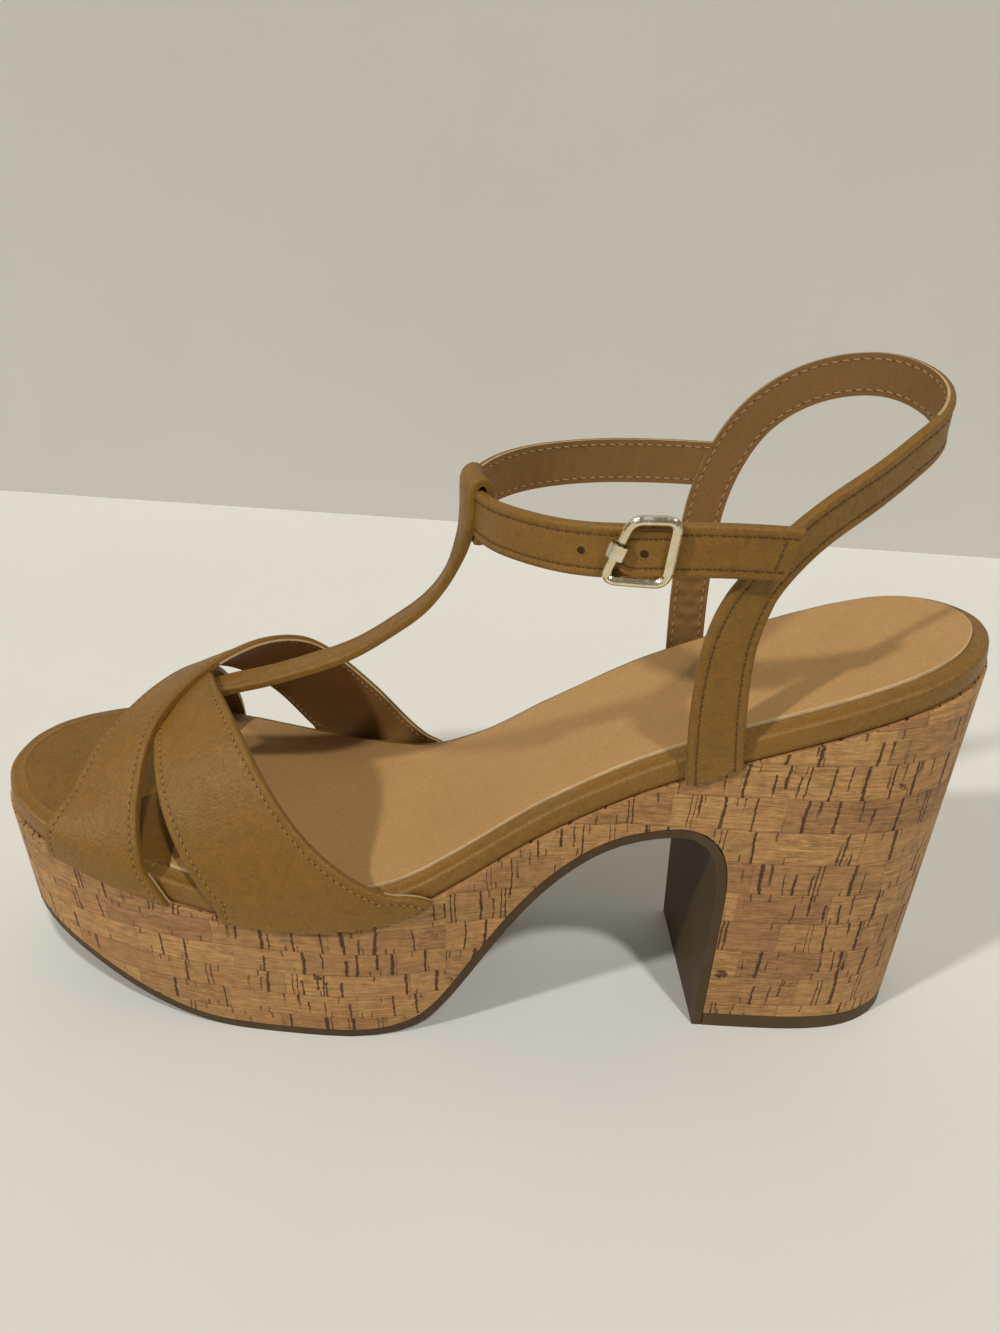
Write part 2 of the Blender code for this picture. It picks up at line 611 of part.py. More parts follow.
def strap_face(x):
    """y of the ankle strap's outer face on the outer side, at one x."""
    line = path_spline(ANKLE_LINE, 1.0)
    line = line[(line[:, 1] < 0) & (line[:, 0] > 0)]
    along = unit(np.gradient(line, axis=0))
    face = line[:, :2] + np.column_stack([along[:, 1], -along[:, 0]]) * ANKLE_THICK / 2
    order = np.argsort(face[:, 0])
    return np.interp(x, face[order, 0], face[order, 1])


def build_buckle(parts):
    corners = np.array(BUCKLE_CORNERS)
    path = []
    for k in range(4):
        here, before, after = corners[k], corners[k - 1], corners[(k + 1) % 4]
        start = here + unit(before - here) * BUCKLE_CORNER
        end = here + unit(after - here) * BUCKLE_CORNER
        for t in np.linspace(0, 1, 6):
            path.append((1 - t) ** 2 * start + 2 * t * (1 - t) * here + t ** 2 * end)
    path = np.array(path)
    out = BUCKLE_LIFT + WIRE
    frame = wire_ring([(x, strap_face(x) - out, z) for x, z in path], WIRE, 12)
    mesh_object("buckle_frame", frame[0], frame[1], parts, METAL, 0.25, 1.0)

    low, high = corners[0], corners[1]
    middle = (low + high) / 2
    bar = unit(high - low)
    bore = WIRE + KNUCKLE_CLEAR
    y = strap_face(middle[0]) - out
    turn = np.linspace(math.radians(-20), math.radians(200), 16)
    across = np.array((bar[1], -bar[0]))
    inner, outer = [], []
    for t in turn:
        for store, radius in ((inner, bore), (outer, bore + KNUCKLE_WALL)):
            aside = across * radius * math.cos(t)
            store.append((aside[0], -radius * math.sin(t), aside[1]))
    ends = []
    for side in (-1, 1):
        shift = np.array((bar[0], 0, bar[1])) * side * KNUCKLE_LONG / 2 + (middle[0], y, middle[1])
        ends.append((np.array(inner) + shift, np.array(outer) + shift))
    grid_in = np.stack([ends[0][0], ends[1][0]], axis=1)
    grid_out = np.stack([ends[0][1], ends[1][1]], axis=1)
    vertices, faces = grid_solid(grid_in, grid_out)
    mesh_object("buckle_prong", vertices, faces, parts, METAL, 0.25, 1.0)


def centre_on_floor(parts):
    """Move every mesh together so that the part's box is centred over the origin."""
    bpy.context.view_layer.update()
    graph = bpy.context.evaluated_depsgraph_get()
    low, high = np.full(3, 1e9), np.full(3, -1e9)
    for thing in parts.objects:
        mesh = thing.evaluated_get(graph).to_mesh()
        flat = np.empty(len(mesh.vertices) * 3)
        mesh.vertices.foreach_get("co", flat)
        corners = flat.reshape(-1, 3)
        low, high = np.minimum(low, corners.min(0)), np.maximum(high, corners.max(0))
        thing.evaluated_get(graph).to_mesh_clear()
    shift = -(low + high) / 2
    shift[2] = -low[2]
    for mesh in {thing.data for thing in bpy.data.objects}:
        for vertex in mesh.vertices:
            vertex.co += type(vertex.co)(shift)
    print("box", (high - low) / MM, "moved by", shift / MM)


def main():
    for thing in list(bpy.data.objects):
        bpy.data.objects.remove(thing, do_unlink=True)
    parts = bpy.data.collections.new("platform_sandal")
    cutters = bpy.data.collections.new("platform_sandal_cutters")
    for collection in (parts, cutters):
        bpy.context.scene.collection.children.link(collection)
    cutters.hide_render = True
    build_sole(parts, cutters)
    build_footbed(parts, cutters)
    trim_feet([build_vamp(parts, cutters), build_ankle(parts, cutters)], cutters)
    build_buckle(parts)
    centre_on_floor(parts)


main()
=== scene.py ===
"""Looks of a left platform sandal: cork platform and block heel, crossed vamp straps, buckled T-strap.

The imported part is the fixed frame. Each operator makes one piece, or one group of like pieces, over the
solid that it stands for. Shapes are drawn in millimetres, floor at Z = 0, toe towards -X and the outer
side towards -Y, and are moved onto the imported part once, when their mesh is made.
"""
import math

import bmesh
import bpy
import numpy as np
from bpy.props import FloatProperty, FloatVectorProperty, PointerProperty
from mathutils import Matrix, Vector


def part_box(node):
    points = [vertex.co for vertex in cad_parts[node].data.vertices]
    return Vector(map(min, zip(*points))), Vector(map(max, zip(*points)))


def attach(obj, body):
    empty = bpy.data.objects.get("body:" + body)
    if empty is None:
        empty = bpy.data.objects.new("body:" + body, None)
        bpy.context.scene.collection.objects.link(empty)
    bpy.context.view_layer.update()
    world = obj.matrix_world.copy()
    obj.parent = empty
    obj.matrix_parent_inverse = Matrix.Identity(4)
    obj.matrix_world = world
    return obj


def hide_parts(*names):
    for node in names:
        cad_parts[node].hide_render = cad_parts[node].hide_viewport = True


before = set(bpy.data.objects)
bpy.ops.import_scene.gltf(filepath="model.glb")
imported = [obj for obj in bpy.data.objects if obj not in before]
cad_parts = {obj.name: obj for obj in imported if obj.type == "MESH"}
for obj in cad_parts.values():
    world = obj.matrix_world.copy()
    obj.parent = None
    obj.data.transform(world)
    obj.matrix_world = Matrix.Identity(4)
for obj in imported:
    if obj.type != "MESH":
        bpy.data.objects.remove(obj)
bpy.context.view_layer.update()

bl_info = {
    "name": "Platform Sandal",
    "version": (1, 0, 0),
    "blender": (4, 5, 0),
    "location": "View3D > Sidebar > Sandal",
    "description": "Builds the cork, leather and metal pieces of a platform sandal",
    "category": "Add Mesh",
}

MM = 0.001
WELD = 0.002
SHARP_CUT = 35

# Sole, millimetres
LENGTH = 241.0
HEEL_BACK = 117.2
CENTRE_Y = -2.0
GAP = 0.3
RAND_HEIGHT = 6.3
RAND_INSET = 0.8
SOCK_INSET = 4.9
SOCK_THICK = 0.9
SOCK_FRONT = 0.80
SOCK_BOW = 13.4
OUTSOLE_THICK = 2.3
TOP_LIFT_THICK = 4.5
FLOOR_HEEL_SET = 3.6
FLOOR_TOE_SET = 2.0
SKEW = 0.09
SKEW_FROM = -28.0
FLAT_REAR = -30.0
STATIONS = 150
ACROSS = 14
HEEL_CORK_FROM = -2.0

# Half widths from the shoe's axis.
# Columns: x, seat outer side, seat inner side, floor outer side, floor inner side.
OUTLINE = (
    (114.8, 10.2, 9.4, 11.0, 8.6),
    (110.0, 17.6, 16.0, 17.2, 12.6),
    (104.0, 22.8, 20.8, 21.0, 14.8),
    (92.0, 27.6, 24.6, 24.2, 16.2),
    (73.0, 29.4, 26.0, 25.3, 16.6),
    (48.6, 28.9, 26.6, 25.4, 18.5),
    (24.3, 29.6, 25.4, 26.0, 20.5),
    (0.0, 33.4, 26.2, 30.6, 23.4),
    (-24.3, 38.2, 34.4, 36.6, 32.6),
    (-43.7, 38.4, 40.6, 37.2, 39.2),
    (-63.2, 37.2, 42.4, 36.0, 41.0),
    (-85.0, 33.2, 41.0, 32.0, 39.6),
    (-102.0, 27.6, 34.6, 26.2, 33.0),
    (-117.0, 17.6, 20.6, 16.2, 19.0),
)

# Cork top line. Columns: x, height.
CORK_TOP = (
    (-121.5, 51.5), (-102.0, 46.6), (-86.0, 43.0), (-74.0, 40.6), (-61.0, 38.3), (-48.0, 37.0),
    (-34.0, 37.6), (-24.0, 39.4), (-15.0, 42.2), (-6.5, 46.8), (2.6, 52.6), (12.0, 59.2),
    (23.0, 66.0), (39.5, 75.2), (59.0, 84.0), (75.5, 90.6), (91.0, 96.4), (105.0, 100.6),
    (121.5, 103.6),
)

# Underside, toe spring to heel breast. Columns: x, height.
TOE_SPRING = ((-134.0, 32.0), (-120.0, 23.6), (-108.0, 17.2), (-98.0, 12.2), (-88.0, 7.2),
              (-80.0, 4.0), (-72.0, 1.6), (-64.0, 0.3), (-58.0, 0.0))
ARCH = ((-24.0, 0.4), (-17.5, 1.6), (-12.0, 4.0), (-7.0, 8.6), (-1.8, 16.0), (3.3, 24.4),
        (8.9, 33.4), (14.7, 41.8), (20.4, 48.6), (27.0, 54.8), (34.5, 59.6), (42.0, 62.2),
        (48.0, 63.2), (52.3, 62.6), (55.4, 60.2), (57.4, 56.4), (58.6, 50.6), (59.0, 40.0),
        (59.0, 26.0), (59.0, 12.0), (59.0, -6.0))

# Last over the forefoot. Columns: x, ridge height.
RIDGE = ((-114.0, 55.0), (-102.0, 61.0), (-90.0, 68.0), (-80.0, 73.4), (-70.0, 78.6),
         (-60.0, 83.6), (-48.0, 88.4), (-38.0, 92.0), (-28.0, 97.0), (-18.0, 102.0), (-8.0, 106.0))
RIDGE_Y = 5.0
LAST_POWER = 1.3
STRAP_WALL = 0.07
STRAP_CLEAR = 0.5

# Vamp straps by share of the way round from the outer side. Columns: share, front x, rear x.
UPPER_STRAP = ((0.00, -103.5, -71.5), (0.08, -103.5, -75.5), (0.16, -102.5, -78.0),
               (0.28, -99.0, -80.0), (0.38, -95.5, -79.0), (0.48, -90.0, -73.0),
               (0.56, -84.5, -63.0), (0.64, -78.5, -52.5), (0.72, -72.0, -43.5),
               (0.80, -65.0, -33.5), (0.88, -58.5, -23.5), (0.94, -54.0, -15.0), (1.00, -52.0, -8.5))
LOWER_STRAP = ((0.00, -58.5, -8.5), (0.06, -60.5, -14.0), (0.12, -64.5, -24.5), (0.20, -70.5, -38.5),
               (0.28, -75.5, -49.0), (0.38, -80.0, -59.5), (0.48, -84.5, -68.5), (0.58, -89.0, -74.0),
               (0.70, -93.5, -76.0), (0.84, -96.5, -76.0), (1.00, -98.0, -75.0))

# Middle lines of the narrow straps: x, y, z
T_LINE = ((-80.0, 0.3, 72.4), (-69.0, 2.5, 77.4), (-57.0, 3.2, 80.8), (-44.5, 3.5, 85.2),
          (-32.5, 3.5, 90.6), (-22.4, 3.5, 97.6), (-15.0, 3.5, 103.8), (-10.0, 3.5, 110.6),
          (-7.4, 3.5, 117.4), (-6.1, 3.5, 122.6), (-5.6, 3.5, 127.0), (-5.5, 3.5, 131.0),
          (-5.5, 3.5, 135.2), (-4.9, 3.5, 137.6), (-3.4, 3.5, 138.5), (-1.9, 3.5, 137.6),
          (-1.3, 3.5, 135.2), (-1.3, 3.5, 131.0), (-1.4, 3.5, 127.4), (-2.1, 3.5, 125.3),
          (-3.3, 3.5, 124.5), (-4.5, 3.5, 124.7))
SLING_LINE = ((54.2, -31.6, 78.0), (52.9, -32.0, 92.0), (52.4, -31.8, 106.0), (53.4, -31.4, 117.0),
              (57.0, -30.8, 127.0), (63.0, -28.6, 134.5), (71.0, -24.0, 140.3), (80.0, -18.0, 144.8),
              (89.0, -10.5, 149.4), (95.5, -3.5, 152.9), (98.2, 5.0, 155.8), (96.7, 13.0, 157.8),
              (91.0, 20.5, 159.0), (80.8, 26.0, 157.4), (71.0, 28.8, 152.8), (63.2, 29.6, 146.0),
              (57.8, 29.6, 137.0), (54.2, 29.2, 126.0), (52.6, 28.4, 112.0), (52.3, 27.4, 98.0),
              (52.9, 26.8, 78.0))
ANKLE_LINE = ((54.0, 29.6, 134.0), (46.0, 31.4, 133.6), (36.0, 31.4, 133.5), (26.0, 29.8, 133.5),
              (16.0, 26.6, 133.3), (7.0, 21.4, 133.0), (0.2, 14.0, 132.4), (-3.4, 5.0, 131.6),
              (-2.2, -4.5, 131.0), (2.4, -13.0, 131.0), (8.6, -20.4, 131.8), (15.6, -26.4, 132.6),
              (23.6, -30.8, 133.6), (32.6, -33.4, 134.8), (42.0, -34.4, 135.8), (52.0, -34.2, 136.0),
              (61.8, -33.0, 135.4))
ANKLE_AXIS = (48.0, -1.0)
HOLE_PLACES = (20.8, 33.0)
TAB_SPAN = (27.6, 38.9)
T_WIDTH = 9.4
LOOP_WIDER = 2.9
SLING_WIDTH = 9.6
RISER_WIDER = 2.8
ANKLE_WIDTH = 11.0
END_SLANT = -2.4
TAB_WIDTH = 9.9
TAB_ROUND = 4.6
TAB_PRESSED = -0.35

# Loop of the T-strap: where its turn begins, the turn, its centre, its shift and its bend's radius
LOOP_FROM = 78.0
LOOP_TURN = math.radians(14)
LOOP_CENTRE = (-3.4, 3.5)
LOOP_MOVE = (0.55, -4.6)
LOOP_BEND = 22.0

# Along the T-strap: where its neck is narrowest and gathered, and where the loop widens
NECK_AT = 89
NECK_SPREAD = 7
GATHER_AT = 91
GATHER_SPREAD = 5
WIDENS_FROM = 94
WIDENS_OVER = 9

# Heights on the sling: riser's widening, turn of its face, folds inside the riser and round the heel
RISER_WIDE_TO = 126
FACE_TURNS_FROM = 105
RISER_FOLDS_AT = 100
HEEL_FOLDS_AT = 157
CORE_SHOWS_TO = 84

# Edge columns of a strap, millimetres from the edge, and the two that carry stitches
EDGE_COLUMNS = (0.0, 0.10, 0.28, 0.55, 0.9, 1.3, 1.7, 2.0, 2.3, 2.7, 3.3)
STITCH_COLUMN = EDGE_COLUMNS.index(2.0)
INSIDE_STITCH_COLUMN = EDGE_COLUMNS.index(1.3)
MIDDLE_COLUMNS = 7
VAMP_ROWS = 150
PALE_FOOT = 0.10
PALE_FROM = 0.52

# Edge of the outer leather: round fold, bead beside it and trough under the stitches
FOLD_WIDTH = 0.75
RIM_SHARE = 0.50
BEAD_HEIGHT = 0.14
BEAD_PLACE = 0.95
BEAD_SPREAD = 0.42
TROUGH_DEPTH = 0.13
TROUGH_SPREAD = 0.34
FLOW_FROM = 1.2
LINING_FLOW_FROM = 2.2

# Stations along one stitch. Columns: share of the pitch, rise and size in thread radii.
STITCH_STATIONS = ((0.20, -0.30, 0.55), (0.28, 0.02, 0.9), (0.5, 0.16, 1.0), (0.72, 0.02, 0.9),
                   (0.80, -0.30, 0.55))
STITCH_LEAN = 0.22
STITCH_FLATNESS = 0.8
NEEDLE_RADIUS = 0.22
NEEDLE_LIFT = 0.035
TOP_THREAD = 0.22
INSIDE_THREAD = 0.17
END_THREAD = 0.27

# Punched hole and its pressed rim. Columns: share of the hole's radius, height.
HOLE_RADIUS = 0.85
HOLE_CORNERS = 24
HOLE_RIM = ((0.98, 0.04), (1.12, 0.12), (1.35, 0.09), (1.6, -0.03))

# Stage, metres, and the camera in drawing millimetres
ROOM_REACH = 3
WALL_PLACE = (0, 0.335, 0)
WALL_TURN = math.radians(-3.2)
LEFT_LAMP = (-0.62, -0.44, 0.65)
RIGHT_LAMP = (0.26, -0.47, 0.84)
LAMP_COLOUR = (1.0, 0.975, 0.93)
LAMP_SPREAD = math.radians(3.5)
ROOM_COLOUR = (1.0, 0.98, 0.94, 1)
CAMERA_PLACE = (14.273, -216.586, 208.0)
CAMERA_RIGHT = (0.997713, 0.061695, 0.027615)
CAMERA_UP = (-0.053827, 0.478056, 0.876678)
CAMERA_BACK = (0.040885, -0.87616, 0.480284)
FOCAL_PIXELS = 1000
FRAME_PIXELS = 1333
SENSOR = 36.0

# Finishes that no user setting holds
LEATHER_SHINE = (1.0, 0.86, 0.60, 1)
RUBBER = (0.072, 0.041, 0.017)
LIFT_RUBBER = (0.082, 0.050, 0.020)
RUBBER_DUST = (0.20, 0.145, 0.08, 1)
CORK_DUST = (0.42, 0.28, 0.13, 1)
GOLD = (0.78, 0.66, 0.42, 1)
WORN_GOLD_AND_HIGHLIGHT = (0.86, 0.82, 0.70, 1)
# Painted shade on the dark discs that stand for needle holes and punched holes, darkest and lightest
HOLE_SHADE_TONES = ((0.030, 0.015, 0.006), (0.085, 0.045, 0.018))
CORK_PATCH = 27.0


def colour_field(label, description, default):
    """Colour that a user can set."""
    return FloatVectorProperty(name=label, description=description, subtype="COLOR", size=3, min=0, max=1,
                               default=default)


def number_field(label, description, default, lowest, highest):
    """Size or strength that a user can set."""
    return FloatProperty(name=label, description=description, default=default, min=lowest, max=highest)


class SandalLeather(bpy.types.PropertyGroup):
    """Sizes and colours of leather, lining and thread."""
    colour: colour_field("Leather", "Caramel of straps and rand", (0.209, 0.099, 0.0125))
    lining: colour_field("Lining", "Smooth lining inside the straps", (0.230, 0.121, 0.041))
    sock: colour_field("Sock", "Sheet on the footbed", (0.455, 0.262, 0.100))
    cut_edge: colour_field("Cut Edge", "Pale core at cut edges", (0.56, 0.40, 0.21))
    thread: colour_field("Thread", "Top thread of sling and ankle strap", (0.120, 0.060, 0.018))
    light_thread: colour_field("Light Thread", "Top thread of the vamp straps", (0.34, 0.20, 0.075))
    outer_thick: number_field("Outer", "Thickness of the outer leather, millimetres", 1.25, 0.5, 3)
    lining_thick: number_field("Lining Thickness", "Thickness of the lining, millimetres", 0.6, 0.2, 2)
    stitch_pitch: number_field("Stitch Pitch", "From stitch to stitch, millimetres", 2.35, 1.5, 6)
    stitch_margin: number_field("Stitch Margin", "Stitch line from the edge, millimetres", 2.0, 1, 4)


class SandalCork(bpy.types.PropertyGroup):
    """Sizes and colours of the cork covering."""
    pale: colour_field("Pale Cork", "Lightest patches", (0.462, 0.247, 0.087))
    warm: colour_field("Warm Cork", "Most orange patches", (0.350, 0.176, 0.066))
    pore: colour_field("Pores", "Dark dashes in the bark", (0.062, 0.022, 0.010))
    front_row: number_field("Platform Row", "Height of a patch row there, millimetres", 7.5, 3, 20)
    heel_row: number_field("Heel Row", "Height of a patch row there, millimetres", 9.6, 3, 20)


class SandalStage(bpy.types.PropertyGroup):
    """Floor, wall and light."""
    floor: colour_field("Floor", "Pale floor", (0.77, 0.765, 0.715))
    wall: colour_field("Wall", "Pale wall", (0.64, 0.63, 0.575))
    left_sun: number_field("Left Lamp", "Lamp above the toe, on the camera's side", 1.35, 0, 20)
    right_sun: number_field("Right Lamp", "Lamp above the heel, on the camera's side", 1.2, 0, 20)
    room: number_field("Room Light", "Even light from all round", 0.19, 0, 5)


# Curves and outlines

def curve_through(rows):
    """Natural cubic curve through rows of (key, value...)."""
    table = np.array(rows, dtype=float)
    keys, values = table[:, 0], table[:, 1:]
    n = len(keys)
    step = np.diff(keys)
    slope = np.diff(values, axis=0) / step[:, None]
    system, right = np.eye(n), np.zeros((n, values.shape[1]))
    for i in range(1, n - 1):
        system[i, i - 1:i + 2] = step[i - 1], 2 * (step[i - 1] + step[i]), step[i]
        right[i] = 6 * (slope[i] - slope[i - 1])
    bend = np.linalg.solve(system, right)

    def at(key):
        key = np.clip(np.atleast_1d(np.asarray(key, dtype=float)), keys[0], keys[-1])
        i = np.clip(np.searchsorted(keys, key) - 1, 0, n - 2)
        h, a, b = step[i][:, None], (keys[i + 1] - key)[:, None], (key - keys[i])[:, None]
        return (bend[i] * a ** 3 / (6 * h) + bend[i + 1] * b ** 3 / (6 * h)
                + (values[i] / h - bend[i] * h / 6) * a + (values[i + 1] / h - bend[i + 1] * h / 6) * b)
    return at


def run_of(points):
    """Length along a line at each of its points."""
    return np.concatenate([[0], np.cumsum(np.linalg.norm(np.diff(points, axis=0), axis=1))])


def smooth_path(points, spacing):
    """Smooth line through points, in about equal steps."""
    pts = np.array(points, dtype=float)
    run = run_of(pts)
    count = max(4, int(round(run[-1] / spacing)))
    return curve_through(np.column_stack([run, pts]))(np.linspace(0, run[-1], count + 1))


def unit(vectors):
    return vectors / np.maximum(np.linalg.norm(vectors, axis=-1, keepdims=True), 1e-9)


def ease(value):
    """0 to 1 with soft ends."""
    t = np.clip(value, 0, 1)
    return t * t * (3 - 2 * t)


def hump(value, middle, spread):
    """1 at the middle, falling softly to 0."""
    return np.exp(-((value - middle) / spread) ** 2)


def ripple(*terms):
    """Sum of sines, for slow uneven waves. Each term is (value, wavelength, phase, size)."""
    return sum(size * np.sin(2 * math.pi * value / wave + phase) for value, wave, phase, size in terms)


CORK_LINE = curve_through(CORK_TOP)
RIDGE_LINE = curve_through(RIDGE)


def cork_top(x):
    """Height of the cork's top line."""
    return CORK_LINE(np.ravel(x))[:, 0].reshape(np.shape(x))


def half_outline(column, heel_set=0.0, toe_set=0.0, inset=0.0):
    """x and distance from the axis for one side, from the heel to the toe."""
    table = np.array(OUTLINE)
    share = (HEEL_BACK - table[:, 0]) / LENGTH
    fullness = curve_through(np.column_stack([share, table[:, column] / np.sqrt(share * (1 - share))]))
    s = (1 - np.cos(np.linspace(0, math.pi, STATIONS + 1))) / 2
    wide = fullness(s)[:, 0] * np.sqrt(s * (1 - s))
    x = HEEL_BACK - heel_set - s * (LENGTH - heel_set - toe_set)
    if inset:
        along = unit(np.column_stack([np.gradient(x), np.gradient(wide)]))
        along[0], along[-1] = (0, 1), (0, -1)
        x, wide = x - along[:, 1] * inset, wide + along[:, 0] * inset
        wide[0] = wide[-1] = 0
    return x, wide


def level_grid(inset=0.0, floor=False):
    """Flat grid over the sole's outline: rows from heel to toe, columns from the outer to the inner side."""
    sets = (FLOOR_HEEL_SET, FLOOR_TOE_SET) if floor else (0.0, 0.0)
    first = 3 if floor else 1
    outer_x, outer = half_outline(first, *sets, inset)
    inner_x, inner = half_outline(first + 1, *sets, inset)
    share = (1 - np.cos(np.linspace(0, math.pi, ACROSS + 1))) / 2
    rows = slice(1, STATIONS)
    left = np.column_stack([outer_x, CENTRE_Y - outer])[rows, None]
    right = np.column_stack([inner_x, CENTRE_Y + inner])[rows, None]
    flat = left + (right - left) * share[None, :, None]
    return np.concatenate([flat, np.zeros((*flat.shape[:2], 1))], axis=2)


def sole_grid(inset, rise):
    """Grid at an inset from the cork face and a rise above the cork's top line."""
    grid = level_grid(inset)
    grid[..., 2] = cork_top(grid[..., 0]) + rise
    return grid


def rim(grid):
    """Border of a grid as one closed ring."""
    return np.concatenate([grid[:, 0], grid[-1, 1:], grid[-2::-1, -1], grid[0, -2:0:-1]])


SHIFT = np.zeros(3)


def find_shift():
    """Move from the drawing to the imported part, read from the cork's box."""
    flat = level_grid()
    low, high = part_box("cork_platform")
    for axis in (0, 1):
        drawn = (flat[..., axis].min() + flat[..., axis].max()) / 2
        SHIFT[axis] = (low[axis] + high[axis]) / 2 / MM - drawn


# Meshes

class Shape:
    """A growing mesh: points in drawing millimetres, faces with a material number, and two surface
    coordinates at every corner."""

    def __init__(self):
        self.points, self.faces, self.kinds, self.coords, self.count = [], [], [], [], 0

    def add(self, points, faces, coords, kind=0):
        """coords has one pair a point, or one pair a corner of each face."""
        points, coords = np.asarray(points, dtype=float), np.asarray(coords, dtype=float)
        for k, face in enumerate(faces):
            self.faces.append([self.count + int(i) for i in face])
            self.coords.extend(coords[k] if coords.ndim == 3 else coords[list(face)])
            self.kinds.append(kind)
        self.points.append(points)
        self.count += len(points)

    def grid(self, points, coords, kind=0, flip=False):
        rows, columns = points.shape[:2]
        at = np.arange(rows * columns).reshape(rows, columns)
        quads = np.stack([at[:-1, :-1], at[:-1, 1:], at[1:, 1:], at[1:, :-1]], axis=-1).reshape(-1, 4)
        if flip:
            quads = quads[:, ::-1]
        self.add(points.reshape(-1, 3), quads, coords.reshape(-1, 2), kind)

    def object(self, name, materials, sharp=40):
        """Blender object, welded and with sharp edges above an angle."""
        mesh = bpy.data.meshes.new(name)
        points = (np.concatenate(self.points) + SHIFT) * MM
        mesh.from_pydata(points.tolist(), [], self.faces)
        mesh.polygons.foreach_set("material_index", self.kinds)
        layer = mesh.uv_layers.new(name="surface")
        layer.data.foreach_set("uv", np.asarray(self.coords, dtype=np.float32).ravel())
        for material in materials:
            mesh.materials.append(material)
        thing = bpy.data.objects.new(name, mesh)
        bpy.context.scene.collection.objects.link(thing)
        weld_and_face_out(mesh)
        mesh.shade_smooth()
        mesh.set_sharp_from_angle(angle=math.radians(sharp))
        return thing


def weld_and_face_out(mesh):
    """Join corners that meet and turn all faces outwards."""
    bm = bmesh.new()
    bm.from_mesh(mesh)
    bmesh.ops.remove_doubles(bm, verts=bm.verts, dist=WELD * MM)
    bmesh.ops.recalc_face_normals(bm, faces=bm.faces)
    bm.to_mesh(mesh)
    bm.free()


def place(thing, slot, *nodes):
    """Let a piece ride on the shoe and stand for its solids, which are hidden. slot is not used."""
    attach(thing, "root")
    if nodes:
        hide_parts(*nodes)
    return thing


def closed_stack(shape, grids, edge_rows=0):
    """Closed body from grids, bottom to top: full faces on the first and last, walls between. The first
    edge_rows rows of the wall take the second material."""
    shape.grid(grids[0], grids[0][..., :2], flip=True)
    shape.grid(grids[-1], grids[-1][..., :2])
    rims = [rim(g) for g in grids]
    rims = np.array([np.concatenate([r, r[:1]]) for r in rims])
    around = run_of(rims[-1])
    coords = np.stack([np.broadcast_to(around, rims.shape[:2]), rims[..., 2]], axis=-1)
    if edge_rows:
        shape.grid(rims[:edge_rows + 1], coords[:edge_rows + 1], 1, flip=True)
    shape.grid(rims[edge_rows:], coords[edge_rows:], flip=True)


def cutting_body(first, last):
    """Closed body between two equal rings of points."""
    count = len(first)
    faces = [list(range(count)), list(range(count, 2 * count))]
    faces += [[i, (i + 1) % count, count + (i + 1) % count, count + i] for i in range(count)]
    shape = Shape()
    shape.add(first + last, faces, np.zeros((2 * count, 2)))
    return shape.object("cutting tool", [])


def cut(thing, tool):
    """Take a cutting body out of a piece."""
    step = thing.modifiers.new("cut", "BOOLEAN")
    step.operation = "DIFFERENCE"
    step.solver = "EXACT"
    step.object = tool
    graph = bpy.context.evaluated_depsgraph_get()
    mesh = bpy.data.meshes.new_from_object(thing.evaluated_get(graph))
    thing.modifiers.clear()
    thing.data = mesh
    mesh.shade_smooth()
    mesh.set_sharp_from_angle(angle=math.radians(SHARP_CUT))
    bpy.data.objects.remove(tool)


# Straps

class Strap:
    """A band by rows along and columns across: its inner face, its outward direction, and how far each
    column is from the nearest long edge."""

    def __init__(self, seat, normal, edge, along):
        self.seat, self.normal, self.edge, self.along = seat, normal, edge, along

    def lifted(self, height):
        return self.seat + self.normal * np.asarray(height)[..., None]


def strap_columns(width):
    """Distances across a strap for one width: close together at the edges, even in between."""
    edge = np.minimum(np.array(EDGE_COLUMNS), width * 0.45)
    middle = np.linspace(edge[-1], width - edge[-1], MIDDLE_COLUMNS + 2)[1:-1]
    return np.concatenate([edge, middle, (width - edge)[::-1]])


def upright(out, along):
    """Turn a strap's outward directions level where the strap runs more along than up."""
    level = np.cross(along, (0.0, 0.0, 1.0))
    share = ease(np.linalg.norm(level, axis=1) / 0.6)[:, None]
    level = unit(level) * np.sign(np.sum(level * out, axis=1, keepdims=True))
    return unit(out * (1 - share) + level * share)


def band(line, faces_to, width, thick, spacing=0.9, slant=0.0, stands=False):
    """Strap swept along a middle line. faces_to gives its outward direction at a point."""
    pts = smooth_path(line, spacing)
    along = unit(np.gradient(pts, axis=0))
    out = np.array([faces_to(p) for p in pts], dtype=float)
    out = unit(out - along * np.sum(out * along, axis=1, keepdims=True))
    if stands:
        out = upright(out, along)
    side = np.cross(along, out)
    run = run_of(pts)
    wide = np.broadcast_to(width(pts) if callable(width) else float(width), (len(pts),))
    seat, edge, runs = [], [], []
    for p, n, s, t, w, r in zip(pts, out, side, along, wide, run):
        across = strap_columns(w)
        tilt = slant * ease((r - run[-1] + 8) / 8) if slant else 0.0
        seat.append(p - n * thick / 2 + np.outer(across - w / 2, s) + np.outer((across / w - 0.5) * tilt, t))
        edge.append(np.minimum(across, w - across))
        runs.append(np.full(len(across), r))
    seat = np.array(seat)
    return Strap(seat, np.repeat(out[:, None], seat.shape[1], axis=1), np.array(edge), np.array(runs))


def side_reach(x, column):
    """Distance from the axis to the rand's face."""
    xs, wide = half_outline(column, inset=RAND_INSET)
    order = np.argsort(xs)
    return np.interp(x, xs[order], wide[order])


